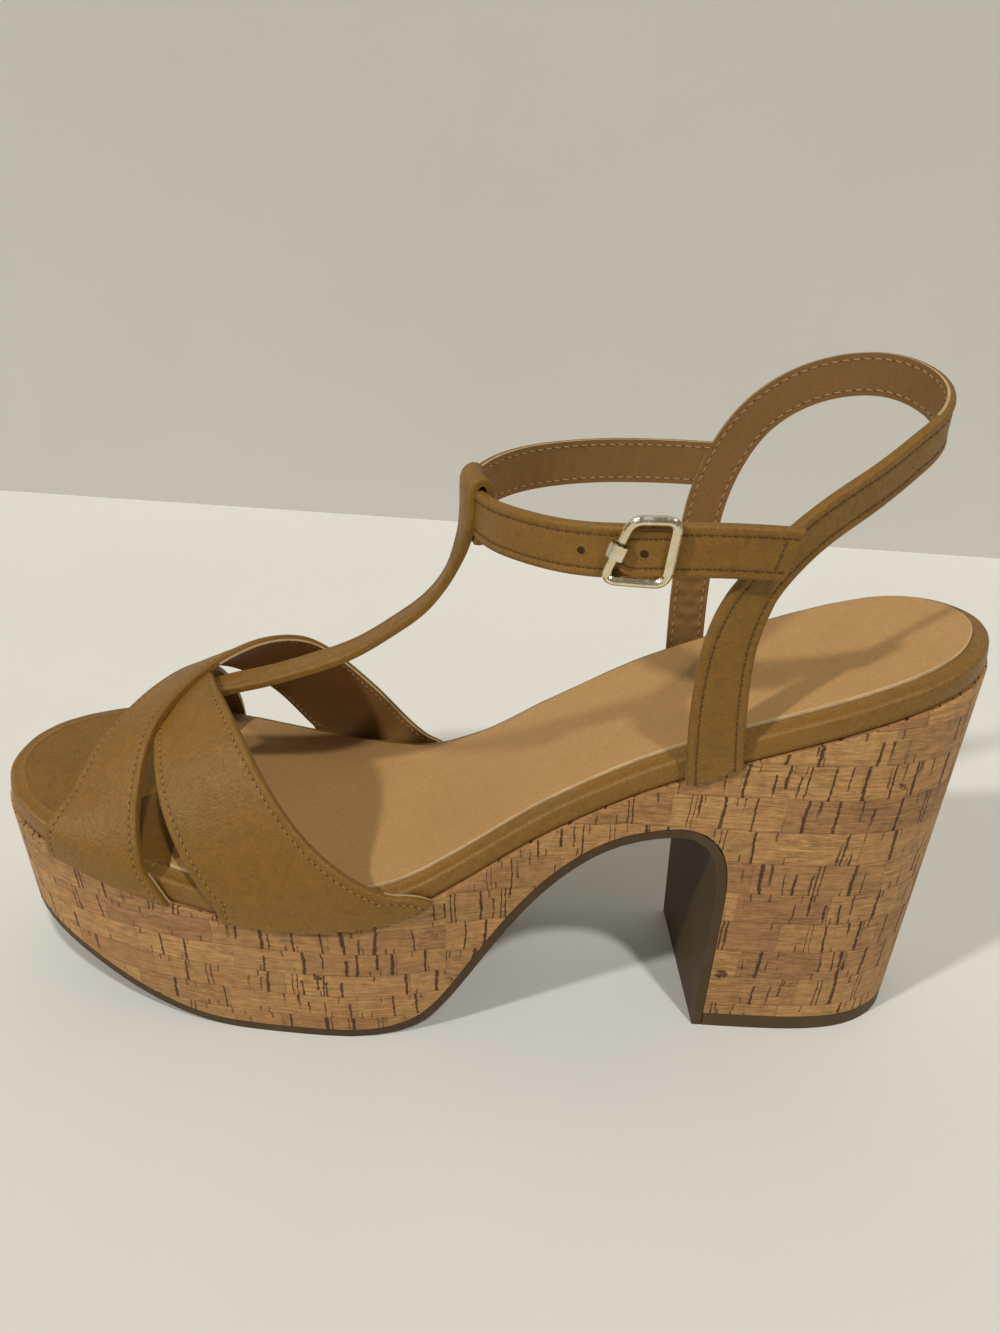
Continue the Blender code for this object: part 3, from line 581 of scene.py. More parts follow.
def last_surface(x, share):
    """Inside of the vamp: outer side (0) over the ridge to the inner side (1)."""
    top, low = cork_top(x) + RAND_HEIGHT, cork_top(x) + GAP
    outer, inner = side_reach(x, 1) + STRAP_CLEAR, side_reach(x, 2) + STRAP_CLEAR
    ridge = RIDGE_LINE(x.ravel())[:, 0].reshape(x.shape)
    up = np.clip(np.minimum(share, 1 - share) / STRAP_WALL, 0, 1)
    turn = np.clip((share - STRAP_WALL) / (1 - 2 * STRAP_WALL), 0, 1) * math.pi
    across = np.cos(turn)
    reach = np.where(across > 0, outer - CENTRE_Y + RIDGE_Y, inner + CENTRE_Y - RIDGE_Y)
    z = low + (top - low) * up + (ridge - top) * np.sin(turn) ** LAST_POWER
    return np.stack([x, RIDGE_Y - reach * across, z], axis=-1)


def vamp_strap(table, lift):
    """Strap over the last between the edge lines of a table."""
    share = np.linspace(0, 1, VAMP_ROWS + 1)
    front, rear = curve_through(table)(share).T

    def at(x, around):
        return last_surface(x, np.broadcast_to(around, x.shape))

    def normals(x, around):
        step = 0.004
        along = at(x, np.clip(around + step, 0, 1)) - at(x, np.clip(around - step, 0, 1))
        normal = unit(np.cross(at(x + 0.5, around) - at(x - 0.5, around), along))
        foot = ease((0.13 - np.minimum(around, 1 - around)) / 0.08)
        outer = around < 0.5
        slope = np.where(outer, side_reach(x + 1, 1) - side_reach(x - 1, 1),
                         side_reach(x + 1, 2) - side_reach(x - 1, 2)) / 2
        level = unit(np.stack([-slope, np.where(outer, -1.0, 1.0) + 0 * x, 0 * x], axis=-1))
        return unit(normal * (1 - foot[..., None]) + level * foot[..., None])

    ends = at(np.stack([front, rear], axis=1), share[:, None])
    edge_way = unit(np.gradient(ends[:, 0], axis=0) + np.gradient(ends[:, 1], axis=0))
    across_way = ends[:, 1] - ends[:, 0]
    sideways = across_way - edge_way * np.sum(across_way * edge_way, axis=1, keepdims=True)
    wide = np.linalg.norm(sideways, axis=1)
    columns = np.array([strap_columns(w) for w in wide])
    x = front[:, None] + (rear - front)[:, None] * columns / wide[:, None]
    around = np.repeat(share[:, None], x.shape[1], axis=1)
    normal = normals(x, around)
    seat = at(x, around) + normal * lift(around)[..., None]
    run = run_of(ends.mean(axis=1))
    return Strap(seat, normal, np.minimum(columns, wide[:, None] - columns),
                 np.repeat(run[:, None], x.shape[1], axis=1))


def folded_profile(edge, thick, margin):
    """Height of the outer leather by distance from the edge: round fold, bead and stitch trough."""
    curve = np.sqrt(np.clip(1 - (1 - np.clip(edge / FOLD_WIDTH, 0, 1)) ** 2, 0, 1))
    bead = BEAD_HEIGHT * hump(edge, BEAD_PLACE, BEAD_SPREAD)
    trough = TROUGH_DEPTH * hump(edge, margin, TROUGH_SPREAD)
    return thick * (RIM_SHARE + (1 - RIM_SHARE) * curve) + bead - trough


def leather_body(shape, low, high, coords, rim_kind=None):
    """Closed sheet between two equal grids. rim_kind is the edge's material, one for all or one a row."""
    shape.grid(high, coords, flip=True)
    shape.grid(low, coords)
    pair = np.stack([rim(low), rim(high)], axis=1)
    pair = np.concatenate([pair, pair[:1]])
    ring = rim(np.concatenate([coords, coords[..., :1]], axis=-1))[:, :2]
    ring = np.concatenate([ring, ring[:1]])
    first = len(shape.kinds)
    shape.grid(pair, np.stack([ring, ring], axis=1), flip=True)
    if rim_kind is not None:
        by_row = np.broadcast_to(np.reshape(rim_kind, (-1, 1, 1)), (*low.shape[:2], 1))
        shape.kinds[first:] = [int(k) for k in rim(by_row)[:, 0]]


def strap_coords(strap):
    """Surface coordinates: along the strap and from its nearest edge."""
    return np.stack([strap.along, strap.edge], axis=-1)


def add_outer(shape, strap, leather, flow):
    """Outer leather of a strap. flow adds uneven height, for creases."""
    height = folded_profile(strap.edge, leather.outer_thick, leather.stitch_margin)
    height = height + flow * ease(strap.edge / FLOW_FROM)
    base = leather.lining_thick
    top = strap.lifted(base + height)
    leather_body(shape, strap.lifted(np.full(height.shape, base)), top, strap_coords(strap))
    return top


def add_lining(shape, strap, leather, rim_kind, flow=0.0):
    """Lining of a strap, with its pale cut edge showing under the outer leather's fold."""
    height = flow * ease(strap.edge / LINING_FLOW_FROM)
    top = leather.lining_thick - 0.02
    low = strap.lifted(np.minimum(height, top - 0.1))
    leather_body(shape, low, strap.lifted(np.full(height.shape, top)), strap_coords(strap), rim_kind)
    return low


def stitches(shape, line, normal, pitch, radius):
    """Row of thread stitches along a line on a surface, with a needle hole's painted shade, a flat dark
    disc, between each two.
    """
    run = run_of(line)
    count = int(run[-1] / pitch)
    if count < 1:
        return
    step = run[-1] / count
    ways = unit(np.gradient(line, axis=0))
    sides = 6
    turn = np.linspace(0, 2 * math.pi, sides, endpoint=False)
    cap, flat = [list(range(sides))], np.zeros((sides, 2))
    where = np.meshgrid(np.arange(sides + 1) / sides, [station[0] * step for station in STITCH_STATIONS])
    where = np.stack(where, axis=-1)

    def at(distance, table):
        return np.array([np.interp(distance, run, table[:, k]) for k in range(3)])

    for i in range(count):
        middle = (i + 0.5) * step
        up, way = unit(at(middle, normal)), unit(at(middle, ways))
        side = np.cross(way, up)
        ring = np.outer(np.cos(turn), side) + np.outer(np.sin(turn), up) * STITCH_FLATNESS
        rings = []
        for share, rise, size in STITCH_STATIONS:
            centre = at((i + share) * step, line) + up * rise * radius + side * (share - 0.5) * STITCH_LEAN
            rings.append(centre + ring * radius * size)
        shape.grid(np.array([np.concatenate([r, r[:1]]) for r in rings]), where)
        shape.add(rings[0], cap, flat)
        shape.add(rings[-1], cap, flat)
        # Flat dark disc of painted shade for the needle hole
        hole = np.outer(np.cos(turn), side) * 0.8 + np.outer(np.sin(turn), way) * 1.25
        shape.add(at(i * step, line) + up * NEEDLE_LIFT + hole * NEEDLE_RADIUS, cap, flat, 1)


def stitch_edges(shape, strap, surface, pitch, inside=False):
    """Stitch lines along both long edges of a strap's surface."""
    way, radius = (-1, INSIDE_THREAD) if inside else (1, TOP_THREAD)
    first = INSIDE_STITCH_COLUMN if inside else STITCH_COLUMN
    for column in (first, strap.seat.shape[1] - 1 - first):
        normal = strap.normal[:, column] * way
        stitches(shape, surface[:, column] + normal * 0.02, normal, pitch, radius)


def punched_hole(shape, centre, normal, along):
    """Punched hole as a flat dark disc of painted shade, with a pressed rim, on a surface."""
    turn = np.linspace(0, 2 * math.pi, HOLE_CORNERS + 1)
    circle = np.outer(np.cos(turn), along) + np.outer(np.sin(turn), np.cross(along, normal))
    circle *= HOLE_RADIUS
    # Dark disc of painted shade for the inside of the hole
    shape.add(centre + circle[:-1] + normal * 0.05, [list(range(HOLE_CORNERS))], np.zeros((HOLE_CORNERS, 2)))
    rings = np.array([centre + circle * share + normal * lift for share, lift in HOLE_RIM])
    shape.grid(rings, np.zeros((*rings.shape[:2], 2)), 1)


def sewn_strap(name, strap, pitch, thread, pale, slow, folds, finish=None, nodes=()):
    """Outer leather, lining and the stitching of both, as four pieces. pale is the material of the lining's
    edge by row, slow and folds are added heights, and finish(stitching, surface) adds to the outer side."""
    leather = bpy.context.scene.sandal_leather
    outer, inner, sewn, sewn_inside = Shape(), Shape(), Shape(), Shape()
    top = add_outer(outer, strap, leather, slow)
    low = add_lining(inner, strap, leather, pale, folds)
    stitch_edges(sewn, strap, top, pitch)
    stitch_edges(sewn_inside, strap, low, pitch, inside=True)
    if finish:
        finish(sewn, top)
    dressed(outer, name + "_strap", ("strap",), nodes)
    dressed(inner, name + "_lining", ("lining", "cut edge", "strap"))
    dressed(sewn, name + "_stitching", (thread, "hole"))
    dressed(sewn_inside, name + "_lining_stitching", ("pale thread", "painted needle hole shade"))


def dressed(shape, name, kinds, nodes=()):
    """Piece of the upper, with its materials by name."""
    place(shape.object(name, [material_of(kind) for kind in kinds]), "upper_leather", *nodes)


# Node groups and materials. Scales of noise count waves in a metre, and most other numbers are shares of 1.

class Wire:
    """An output in a node tree. Sums of wires and numbers place Math nodes."""

    def __init__(self, socket):
        self.socket = socket
        self.tree = socket.id_data

    def maths(self, operation, *others, clamp=False):
        """Math node with this wire as its first value."""
        inputs = dict(enumerate((self, *others)))
        return new_node(self.tree, "Math", inputs, operation=operation, use_clamp=clamp)()

    def __add__(self, other):
        return self.maths("ADD", other)

    def __sub__(self, other):
        return self.maths("SUBTRACT", other)

    def __rsub__(self, other):
        return new_node(self.tree, "Math", {0: other, 1: self}, operation="SUBTRACT")()

    def __mul__(self, other):
        return self.maths("MULTIPLY", other)

    def __truediv__(self, other):
        return self.maths("DIVIDE", other)

    def __abs__(self):
        return self.maths("ABSOLUTE")


def outputs_of(node):
    """A node's outputs, asked for by name or number."""
    return lambda key=0: Wire(node.outputs[key])


def fill(node, inputs):
    """Link or set a node's inputs by name or number."""
    for key, value in inputs.items():
        if isinstance(value, Wire):
            node.id_data.links.new(value.socket, node.inputs[key])
        else:
            node.inputs[key].default_value = value


def new_node(tree, kind, inputs=None, **settings):
    """Add a shader node with its properties and inputs, and return its outputs."""
    node = tree.nodes.new("ShaderNode" + kind)
    for key, value in settings.items():
        setattr(node, key, value)
    fill(node, inputs or {})
    return outputs_of(node)


def object_place(tree):
    """Place on the piece, in metres."""
    return new_node(tree, "TexCoord")("Object")


def surface_place(tree):
    """A surface's own coordinates: 0 along and 1 across, in millimetres. On thread 0 is a share of its girth
    and 1 runs along it."""
    return new_node(tree, "SeparateXYZ", {0: new_node(tree, "UVMap", uv_map="surface")()})


def remap(value, low, high, to_low=0.0, to_high=1.0):
    """Soft step between two values."""
    inputs = {"Value": value, "From Min": low, "From Max": high, "To Min": to_low, "To Max": to_high}
    return new_node(value.tree, "MapRange", inputs, interpolation_type="SMOOTHSTEP")("Result")


def blend(factor, first, second):
    """Mix of two colours."""
    return new_node(factor.tree, "Mix", {0: factor, 6: first, 7: second}, data_type="RGBA")(2)


def scaled(colour, factor):
    """A colour made lighter or darker over the surface."""
    return new_node(factor.tree, "VectorMath", {0: colour, "Scale": factor}, operation="SCALE")()


def noise(place_at, scale, detail=3.0, rough=0.55, distortion=0.0):
    """Cloudy noise from 0 to 1."""
    inputs = {"Vector": place_at, "Scale": scale, "Detail": detail, "Roughness": rough,
              "Distortion": distortion}
    return new_node(place_at.tree, "TexNoise", inputs)("Fac")


def cells_along(at, randomness, **settings):
    """Random cells along one coordinate."""
    inputs = {"W": at, "Scale": 1.0, "Randomness": randomness}
    return new_node(at.tree, "TexVoronoi", inputs, voronoi_dimensions="1D", **settings)


def luck_of(cells):
    """Three random numbers of a cell."""
    colour = cells("Color")
    return new_node(colour.tree, "SeparateColor", {0: colour})


def tone_of(colour, factor=1.0):
    """A plain colour made lighter or darker, with its alpha."""
    return (*(min(1.0, channel * factor) for channel in colour), 1.0)


def new_group(name, inputs, outputs):
    """Shader group with named sockets: rows of four are colours, single values are numbers. Returns the
    group, its given values and its last node."""
    group = bpy.data.node_groups.new(name, "ShaderNodeTree")
    for label, default in inputs.items():
        kind = "NodeSocketColor" if isinstance(default, tuple) else "NodeSocketFloat"
        group.interface.new_socket(label, in_out="INPUT", socket_type=kind).default_value = default
    for label in outputs:
        kind = "NodeSocketColor" if label == "Colour" else "NodeSocketFloat"
        group.interface.new_socket(label, in_out="OUTPUT", socket_type=kind)
    return group, outputs_of(group.nodes.new("NodeGroupInput")), group.nodes.new("NodeGroupOutput")


def grain_group():
    """Fine leather grain: small pebbles broken by pores, and slow cloudy tone."""
    group, given, out = new_group(
        "leather grain", {"Colour": (0.4, 0.2, 0.1, 1), "Pebble": 0.8, "Cloud": 0.5, "Roughness": 0.5},
        ("Colour", "Roughness", "Height"))
    spot = object_place(group)
    size = new_node(group, "Math", {0: 1000.0, 1: given("Pebble")}, operation="DIVIDE")()
    cells = new_node(group, "TexVoronoi", {"Vector": spot, "Scale": size, "Smoothness": 0.6},
                     feature="SMOOTH_F1")
    pebble = cells("Distance") * -0.7 + noise(spot, 2600.0, 3.0, 0.6) * 0.5
    slow = noise(spot, 42.0, 4.0, 0.6) * 0.6 + noise(spot, 13.0, 2.0, 0.5) * 0.5
    tone = (slow - 0.55) * given("Cloud")
    speckle = (noise(spot, 380.0, 4.0, 0.7) - 0.5) * given("Cloud") * 1.1
    shade = pebble * 0.34 + 1.06 + speckle + tone
    rough = given("Roughness") + (pebble * -0.30 + 0.05) + tone * -0.25
    fill(out, {"Colour": scaled(given("Colour"), shade), "Roughness": rough, "Height": pebble})
    return group


def dust_group():
    """Pale dust and handling marks on rubber and cork."""
    group, given, out = new_group(
        "dust and marks",
        {"Colour": (0.5, 0.5, 0.5, 1), "Dust": (0.5, 0.46, 0.4, 1), "Amount": 0.2, "Roughness": 0.5},
        ("Colour", "Roughness"))
    spot = object_place(group)
    cloud = remap(noise(spot, 60.0, 5.0, 0.65), 0.42, 0.75)
    speck = remap(noise(spot, 900.0, 2.0, 0.5), 0.60, 0.72)
    mask = (cloud + speck * 0.5).maths("MULTIPLY", given("Amount"), clamp=True)
    colour = blend(mask, given("Colour"), given("Dust"))
    fill(out, {"Colour": colour, "Roughness": mask * 0.3 + given("Roughness")})
    return group


def twist_group():
    """Two twisted plies of sewing thread."""
    group, given, out = new_group("thread twist", {"Colour": (0.5, 0.4, 0.3, 1)}, ("Colour", "Height"))
    where = surface_place(group)
    # Twice round the girth for two plies, which turn with every millimetre of length
    turn = where(0) * 12.566 + where(1) * 7.5
    ply = turn.maths("SINE") * 0.5 + 0.5
    fill(out, {"Colour": scaled(given("Colour"), ply * 0.35 + 0.78), "Height": ply})
    return group


GROUPS = {}


def use_group(tree, maker, inputs):
    """Place a shared effect, building its group the first time."""
    if maker.__name__ not in GROUPS:
        GROUPS[maker.__name__] = maker()
    return new_node(tree, "Group", inputs, node_tree=GROUPS[maker.__name__])


def new_material(name, roughness=0.5, metallic=0.0, specular=0.5):
    """Material with its node tree and its Principled shader."""
    material = bpy.data.materials.new(name)
    material.use_nodes = True
    shader = material.node_tree.nodes["Principled BSDF"]
    fill(shader, {"Roughness": roughness, "Metallic": metallic, "Specular IOR Level": specular})
    return material, material.node_tree, shader


def add_bump(shader, height, depth):
    """Relief of a depth in millimetres."""
    fill(shader, {"Normal": new_node(height.tree, "Bump", {"Height": height, "Distance": depth * MM})()})


def leather_material(name, colour, roughness=0.44, pebble=0.70, depth=0.17, cloud=0.60, trough_darkening=0.0,
                     specular=0.58):
    """Grained leather, with its colour darkened by a given share along the stitch trough of a strap."""
    material, tree, shader = new_material(name, specular=specular)
    shader.inputs["Specular Tint"].default_value = LEATHER_SHINE
    base = tone_of(colour)
    if trough_darkening:
        # Colour darkened along the stitch trough, 2 mm from the edge
        trough = 1.0 - remap(abs(surface_place(tree)(1) - 2.0), 0.0, 0.75)
        base = blend(trough * trough_darkening, base, tone_of(colour, 0.45))
    grain = use_group(tree, grain_group, {"Colour": base, "Pebble": pebble, "Cloud": cloud,
                                          "Roughness": roughness})
    fill(shader, {"Base Color": grain("Colour"), "Roughness": grain("Roughness")})
    add_bump(shader, grain("Height"), depth)
    return material


def thread_material(name, colour):
    """Twisted sewing thread."""
    material, tree, shader = new_material(name, roughness=0.7, specular=0.25)
    twist = use_group(tree, twist_group, {"Colour": colour})
    fill(shader, {"Base Color": twist("Colour")})
    add_bump(shader, twist("Height"), 0.08)
    return material


def cut_edge_material(name, colour):
    """Pale fibrous edge where leather is cut."""
    material, tree, shader = new_material(name, roughness=0.8, specular=0.2)
    spot = object_place(tree)
    fibre = noise(spot, 1800.0, 4.0, 0.7)
    shade = remap(fibre + noise(spot, 120.0, 3.0, 0.6), 0.6, 1.4, 0.72, 1.1)
    fill(shader, {"Base Color": scaled(colour[:3], shade)})
    add_bump(shader, fibre, 0.12)
    return material


def painted_hole_shade_material(name, dark, light):
    """Painted shade of needle holes and punched holes, laid on flat dark discs."""
    material, tree, shader = new_material(name, roughness=0.9, specular=0.1)
    fill(shader, {"Base Color": blend(noise(object_place(tree), 1500.0), dark, light)})
    return material


def rubber_material(name, colour, dust):
    """Moulded brown rubber with dust and small scuffs."""
    material, tree, shader = new_material(name, specular=0.22)
    spot = object_place(tree)
    marks = use_group(tree, dust_group, {"Colour": tone_of(colour), "Dust": RUBBER_DUST, "Amount": dust,
                                         "Roughness": 0.56})
    fill(shader, {"Base Color": marks("Colour"), "Roughness": marks("Roughness")})
    scuff = remap(noise(spot, 240.0, 3.0, 0.6, 1.2), 0.62, 0.75)
    add_bump(shader, noise(spot, 1600.0, 4.0, 0.65) - scuff * 0.8, 0.06)
    return material


def cork_material(cork):
    """Cork sheet laid in rows of patches, each with its own tint, wavy grain and dark vertical pores."""
    material, tree, shader = new_material("cork sheet", specular=0.28)
    where = surface_place(tree)
    around, height = where(0), where(1)
    spot = object_place(tree)
    x = new_node(tree, "SeparateXYZ", {0: spot})() * 1000.0
    heel = x.maths("GREATER_THAN", HEEL_CORK_FROM)

    # Rows and the patches along each row
    row_height = heel * (cork.heel_row - cork.front_row) + cork.front_row
    level = height / row_height + noise(spot, 70.0, 2.0, 0.5) * 0.16
    row, inside = level.maths("FLOOR"), level.maths("FRACT")
    key = row * 17.37 + heel * 431.0
    ragged = around + noise(spot, 420.0, 3.0, 0.7) * 1.2
    patch_at = ragged / CORK_PATCH + key
    chance = luck_of(cells_along(patch_at, 0.9))
    border = cells_along(patch_at, 0.9, feature="DISTANCE_TO_EDGE")("Distance")
    side_seam = 1.0 - remap(border, 0.003, 0.014)
    row_seam = 1.0 - remap(inside.maths("MINIMUM", 1.0 - inside), 0.008, 0.042)
    seam = side_seam.maths("MAXIMUM", row_seam)

    # Tint of each patch, with slow mottling and fine wavy lines along the row
    pale, warm = np.array(cork.pale), np.array(cork.warm)
    stops = ((0.0, pale * 1.08), (0.35, pale * 0.98), (0.65, pale * 0.76 + warm * 0.18),
             (0.86, pale * 0.52 + warm * 0.46), (1.0, warm))
    ramp = tree.nodes.new("ShaderNodeValToRGB")
    fill(ramp, {0: chance(0)})
    while len(ramp.color_ramp.elements) < len(stops):
        ramp.color_ramp.elements.new(0.5)
    for element, (position, colour) in zip(ramp.color_ramp.elements, stops):
        element.position, element.color = position, (*colour, 1)
    swirl = new_node(tree, "CombineXYZ", {0: around * 0.060, 1: height * 0.75, 2: chance(1) * 40.0})()
    tone = (noise(swirl, 2.6, 6.0, 0.74, 0.8) - 0.5) * ((chance(2) * 0.75 + 0.60) * 2.4)
    tone = tone + (noise(swirl, 0.7, 2.0, 0.5, 1.6) - 0.5) * 0.30
    tone = tone + (noise(spot, 330.0, 4.0, 0.7) - 0.5) * 0.95
    vein = 1.0 - remap(abs(noise(swirl, 1.3, 3.0, 0.6, 0.5) - 0.5), 0.0, 0.022)
    tone = tone - vein * (chance(1) * 0.26 + 0.06)
    base = scaled(outputs_of(ramp)(), tone + 1.0)

    # Pores: upright dashes, each inside one row
    grit = noise(spot, 900.0, 3.0, 0.75) * 3.4 - 0.65
    jagged = (noise(spot, 430.0, 5.0, 0.75) - 0.5) * 1.15
    lean = (noise(spot, 60.0, 1.0, 0.5) - 0.5) * 5.0
    leaning = around + jagged + lean * (inside - 0.5)

    def dashes(spacing, salt, density, thin_width, wide_width, tall, pairs=0.0):
        """Mask of dashes. Spacing and widths are millimetres, tall is a share of the row's height, density
        the share that shows and pairs the share that is double."""
        at = leaning / spacing + (key * 3.31 + salt)
        cell = cells_along(at, 1.0)
        luck = luck_of(cell)
        away = abs(at - cell("W")) * spacing
        width = luck(1) * (wide_width - thin_width) + thin_width
        if pairs:
            double = (luck(1) * 7.3).maths("FRACT").maths("LESS_THAN", pairs)
            away = abs(away - double * 0.62)
            width = width * (double * -0.5 + 1.0)
        thin = 1.0 - remap(away / (width * grit), 0.65, 1.25)
        start = luck(2).maths("GREATER_THAN", 0.5) * (1.0 - tall)
        span = inside.maths("GREATER_THAN", start) * inside.maths("LESS_THAN", start + tall)
        return thin * span * luck(0).maths("LESS_THAN", density)

    crowd = remap(noise(spot, 40.0, 2.0, 0.5), 0.46, 0.56)
    pit_at = new_node(tree, "TexVoronoi", {"Vector": spot, "Scale": 42.0, "Randomness": 1.0})("Distance")
    pit = pit_at.maths("LESS_THAN", noise(spot, 700.0, 3.0, 0.7) * 0.15 - 0.012)
    pores = dashes(7.4, 3.7, 0.50, 0.16, 0.44, 1.0, 0.3)
    pores = pores.maths("MAXIMUM", dashes(3.6, 11.3, 0.46, 0.13, 0.34, 0.70) * crowd)
    pores = pores.maths("MAXIMUM", dashes(2.7, 23.9, 0.36, 0.10, 0.22, 0.26) * 0.75)
    pores = pores.maths("MAXIMUM", pit * 0.9)

    worn_seam = remap(noise(spot, 130.0, 3.0, 0.6), 0.40, 0.62, 0.05, 0.42)
    colour = blend(seam * worn_seam, base, tone_of(warm, 0.45))
    colour = blend(pores * 0.92, colour, tone_of(cork.pore))
    marks = use_group(tree, dust_group, {"Colour": colour, "Dust": CORK_DUST, "Amount": 0.10,
                                         "Roughness": 0.62})
    fill(shader, {"Base Color": marks("Colour"), "Roughness": marks("Roughness")})
    add_bump(shader, tone * 0.30 - pores - seam * 0.35, 0.30)
    return material


def metal_material():
    """Pale gold plate, polished, with hairlines, and cloudy paler patches that are partly worn plating and
    partly painted highlights.
    """
    material, tree, shader = new_material("pale gold", metallic=1.0, roughness=0.2)
    spot = object_place(tree)
    # Paler, smoother cloudy patches: worn plating and painted highlights
    wear_and_highlight = remap(noise(spot, 420.0, 4.0, 0.65), 0.45, 0.7)
    fill(shader, {"Base Color": blend(wear_and_highlight, GOLD, WORN_GOLD_AND_HIGHLIGHT), "Roughness": wear_and_highlight * 0.16 + 0.16})
    stretched = new_node(tree, "Mapping", {"Vector": spot, "Scale": (300.0, 300.0, 4000.0)})()
    add_bump(shader, noise(stretched, 1.0, 2.0, 0.6), 0.02)
    return material


MATERIALS = {}


def material_of(name):
    """Shared materials, made the first time they are asked for."""
    leather = bpy.context.scene.sandal_leather
    smooth = {"specular": 0.35, "pebble": 0.45, "depth": 0.025, "cloud": 0.22, "roughness": 0.55}
    lining = {"specular": 0.35, "pebble": 0.5, "depth": 0.03, "cloud": 0.25, "roughness": 0.5}
    makers = {
        "strap": lambda: leather_material("caramel strap leather", leather.colour, trough_darkening=0.18),
        "rand": lambda: leather_material("caramel rand leather", leather.colour, roughness=0.40,
                                         specular=0.7),
        "lining": lambda: leather_material("strap lining", leather.lining, **lining),
        "sock": lambda: leather_material("sock lining", leather.sock, **smooth),
        "sock edge": lambda: cut_edge_material("sock edge", tone_of(leather.cut_edge, 1.12)),
        "cut edge": lambda: cut_edge_material("cut edge", tone_of(leather.cut_edge)),
        "thread": lambda: thread_material("caramel thread", tone_of(leather.thread)),
        "light thread": lambda: thread_material("light caramel thread", tone_of(leather.light_thread)),
        "pale thread": lambda: thread_material("pale thread", tone_of(leather.cut_edge, 0.8)),
        # Painted shade of needle holes and punched holes
        "hole": lambda: painted_hole_shade_material("painted dark hole shade", *map(tone_of, HOLE_SHADE_TONES)),
        # Painted shade of needle holes on the lining side: lining colour darkened
        "painted needle hole shade": lambda: painted_hole_shade_material("painted needle hole shade", tone_of(leather.lining, 0.42),
                                             tone_of(leather.lining, 0.7)),
        "rubber": lambda: rubber_material("brown rubber", RUBBER, 0.16),
        "lift": lambda: rubber_material("top lift rubber", LIFT_RUBBER, 0.20),
        "cork": lambda: cork_material(bpy.context.scene.sandal_cork),
        "metal": metal_material,
    }
    if name not in MATERIALS:
        MATERIALS[name] = makers[name]()
    return MATERIALS[name]


# Operators

def dress_solid(node, name):
    """Give a solid that stays in view its material."""
    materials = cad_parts[node].data.materials
    materials.clear()
    materials.append(material_of(name))


class SANDAL_OT_stage(bpy.types.Operator):
    """Pale floor and wall, soft lamps and the camera at the picture's angle"""
    bl_idname = "sandal.stage"
    bl_label = "Stage, Lamps and Camera"

    def execute(self, context):
        stage = context.scene.sandal_stage
        far = ROOM_REACH
        floor = self.sheet("floor", ((-far, -far), (far, -far), (far, far), (-far, far)),
                           self.paint("pale floor", stage.floor))
        wall = self.sheet("wall", ((-far, 0), (far, 0), (far, far), (-far, far)),
                          self.paint("pale wall", stage.wall, front_only=True))
        wall.matrix_world = (Matrix.Translation(WALL_PLACE) @ Matrix.Rotation(WALL_TURN, 4, "Z")
                             @ Matrix.Rotation(math.pi / 2, 4, "X"))
        self.lamp("left lamp", LEFT_LAMP, stage.left_sun)
        self.lamp("right lamp", RIGHT_LAMP, stage.right_sun)
        world = bpy.data.worlds.new("soft room")
        world.use_nodes = True
        fill(world.node_tree.nodes["Background"], {0: ROOM_COLOUR, 1: stage.room})
        context.scene.world = world
        context.scene.view_settings.view_transform = "Standard"
        self.camera(context)
        return {"FINISHED"}

    def sheet(self, name, corners, material):
        """Flat sheet with one face."""
        mesh = bpy.data.meshes.new(name)
        mesh.from_pydata([(x, y, 0) for x, y in corners], [], [(0, 1, 2, 3)])
        mesh.materials.append(material)
        return self.linked(name, mesh)

    def linked(self, name, data):
        """Object put into the scene."""
        thing = bpy.data.objects.new(name, data)
        bpy.context.scene.collection.objects.link(thing)
        return thing

    def paint(self, name, colour, front_only=False):
        """Slightly cloudy paint. front_only leaves the back of a sheet clear."""
        material, tree, shader = new_material(name, roughness=0.6, specular=0.3)
        cloud = noise(object_place(tree), 6.0, 4.0, 0.6)
        fill(shader, {"Base Color": blend(cloud, tone_of(colour, 0.96), tone_of(colour, 1.04))})
        if front_only:
            fill(shader, {"Alpha": 1.0 - new_node(tree, "NewGeometry")("Backfacing")})
        return material

    def lamp(self, name, towards, strength):
        """Distant soft lamp that shines from a direction onto the shoe."""
        data = bpy.data.lights.new(name, "SUN")
        data.energy = strength
        data.color = LAMP_COLOUR
        data.angle = LAMP_SPREAD
        thing = self.linked(name, data)
        thing.location = towards
        thing.rotation_euler = (-thing.location).to_track_quat("-Z", "Y").to_euler()

    def camera(self, context):
        """Camera as solved from the picture."""
        data = bpy.data.cameras.new("camera")
        data.sensor_width = SENSOR
        data.lens = FOCAL_PIXELS * SENSOR / FRAME_PIXELS
        data.clip_start = 0.01
        data.clip_end = 20
        thing = self.linked("camera", data)
        where = (np.array(CAMERA_PLACE) + SHIFT) * MM
        axes = Matrix((CAMERA_RIGHT, CAMERA_UP, CAMERA_BACK)).transposed()
        thing.matrix_world = Matrix.Translation(where) @ axes.to_4x4()
        context.scene.camera = thing


def underside(distance):
    """x-z line of the underside, moved into the sole."""
    toe = curve_through(TOE_SPRING)
    xs = np.linspace(TOE_SPRING[0][0], TOE_SPRING[-1][0], 40)
    front = np.column_stack([xs, np.maximum(toe(xs)[:, 0], 0)])
    front[-1, 1] = 0
    pts = np.array(((FLAT_REAR, 0.0),) + ARCH)
    run = run_of(pts)
    rear = curve_through(np.column_stack([run, pts]))(np.linspace(0, run[-1], 110))
    rear[:, 1] = np.where(rear[:, 0] < ARCH[0][0], np.maximum(rear[:, 1], 0), rear[:, 1])
    line = np.concatenate([front, rear])
    along = unit(np.gradient(line, axis=0))
    return line + np.column_stack([-along[:, 1], along[:, 0]]) * distance


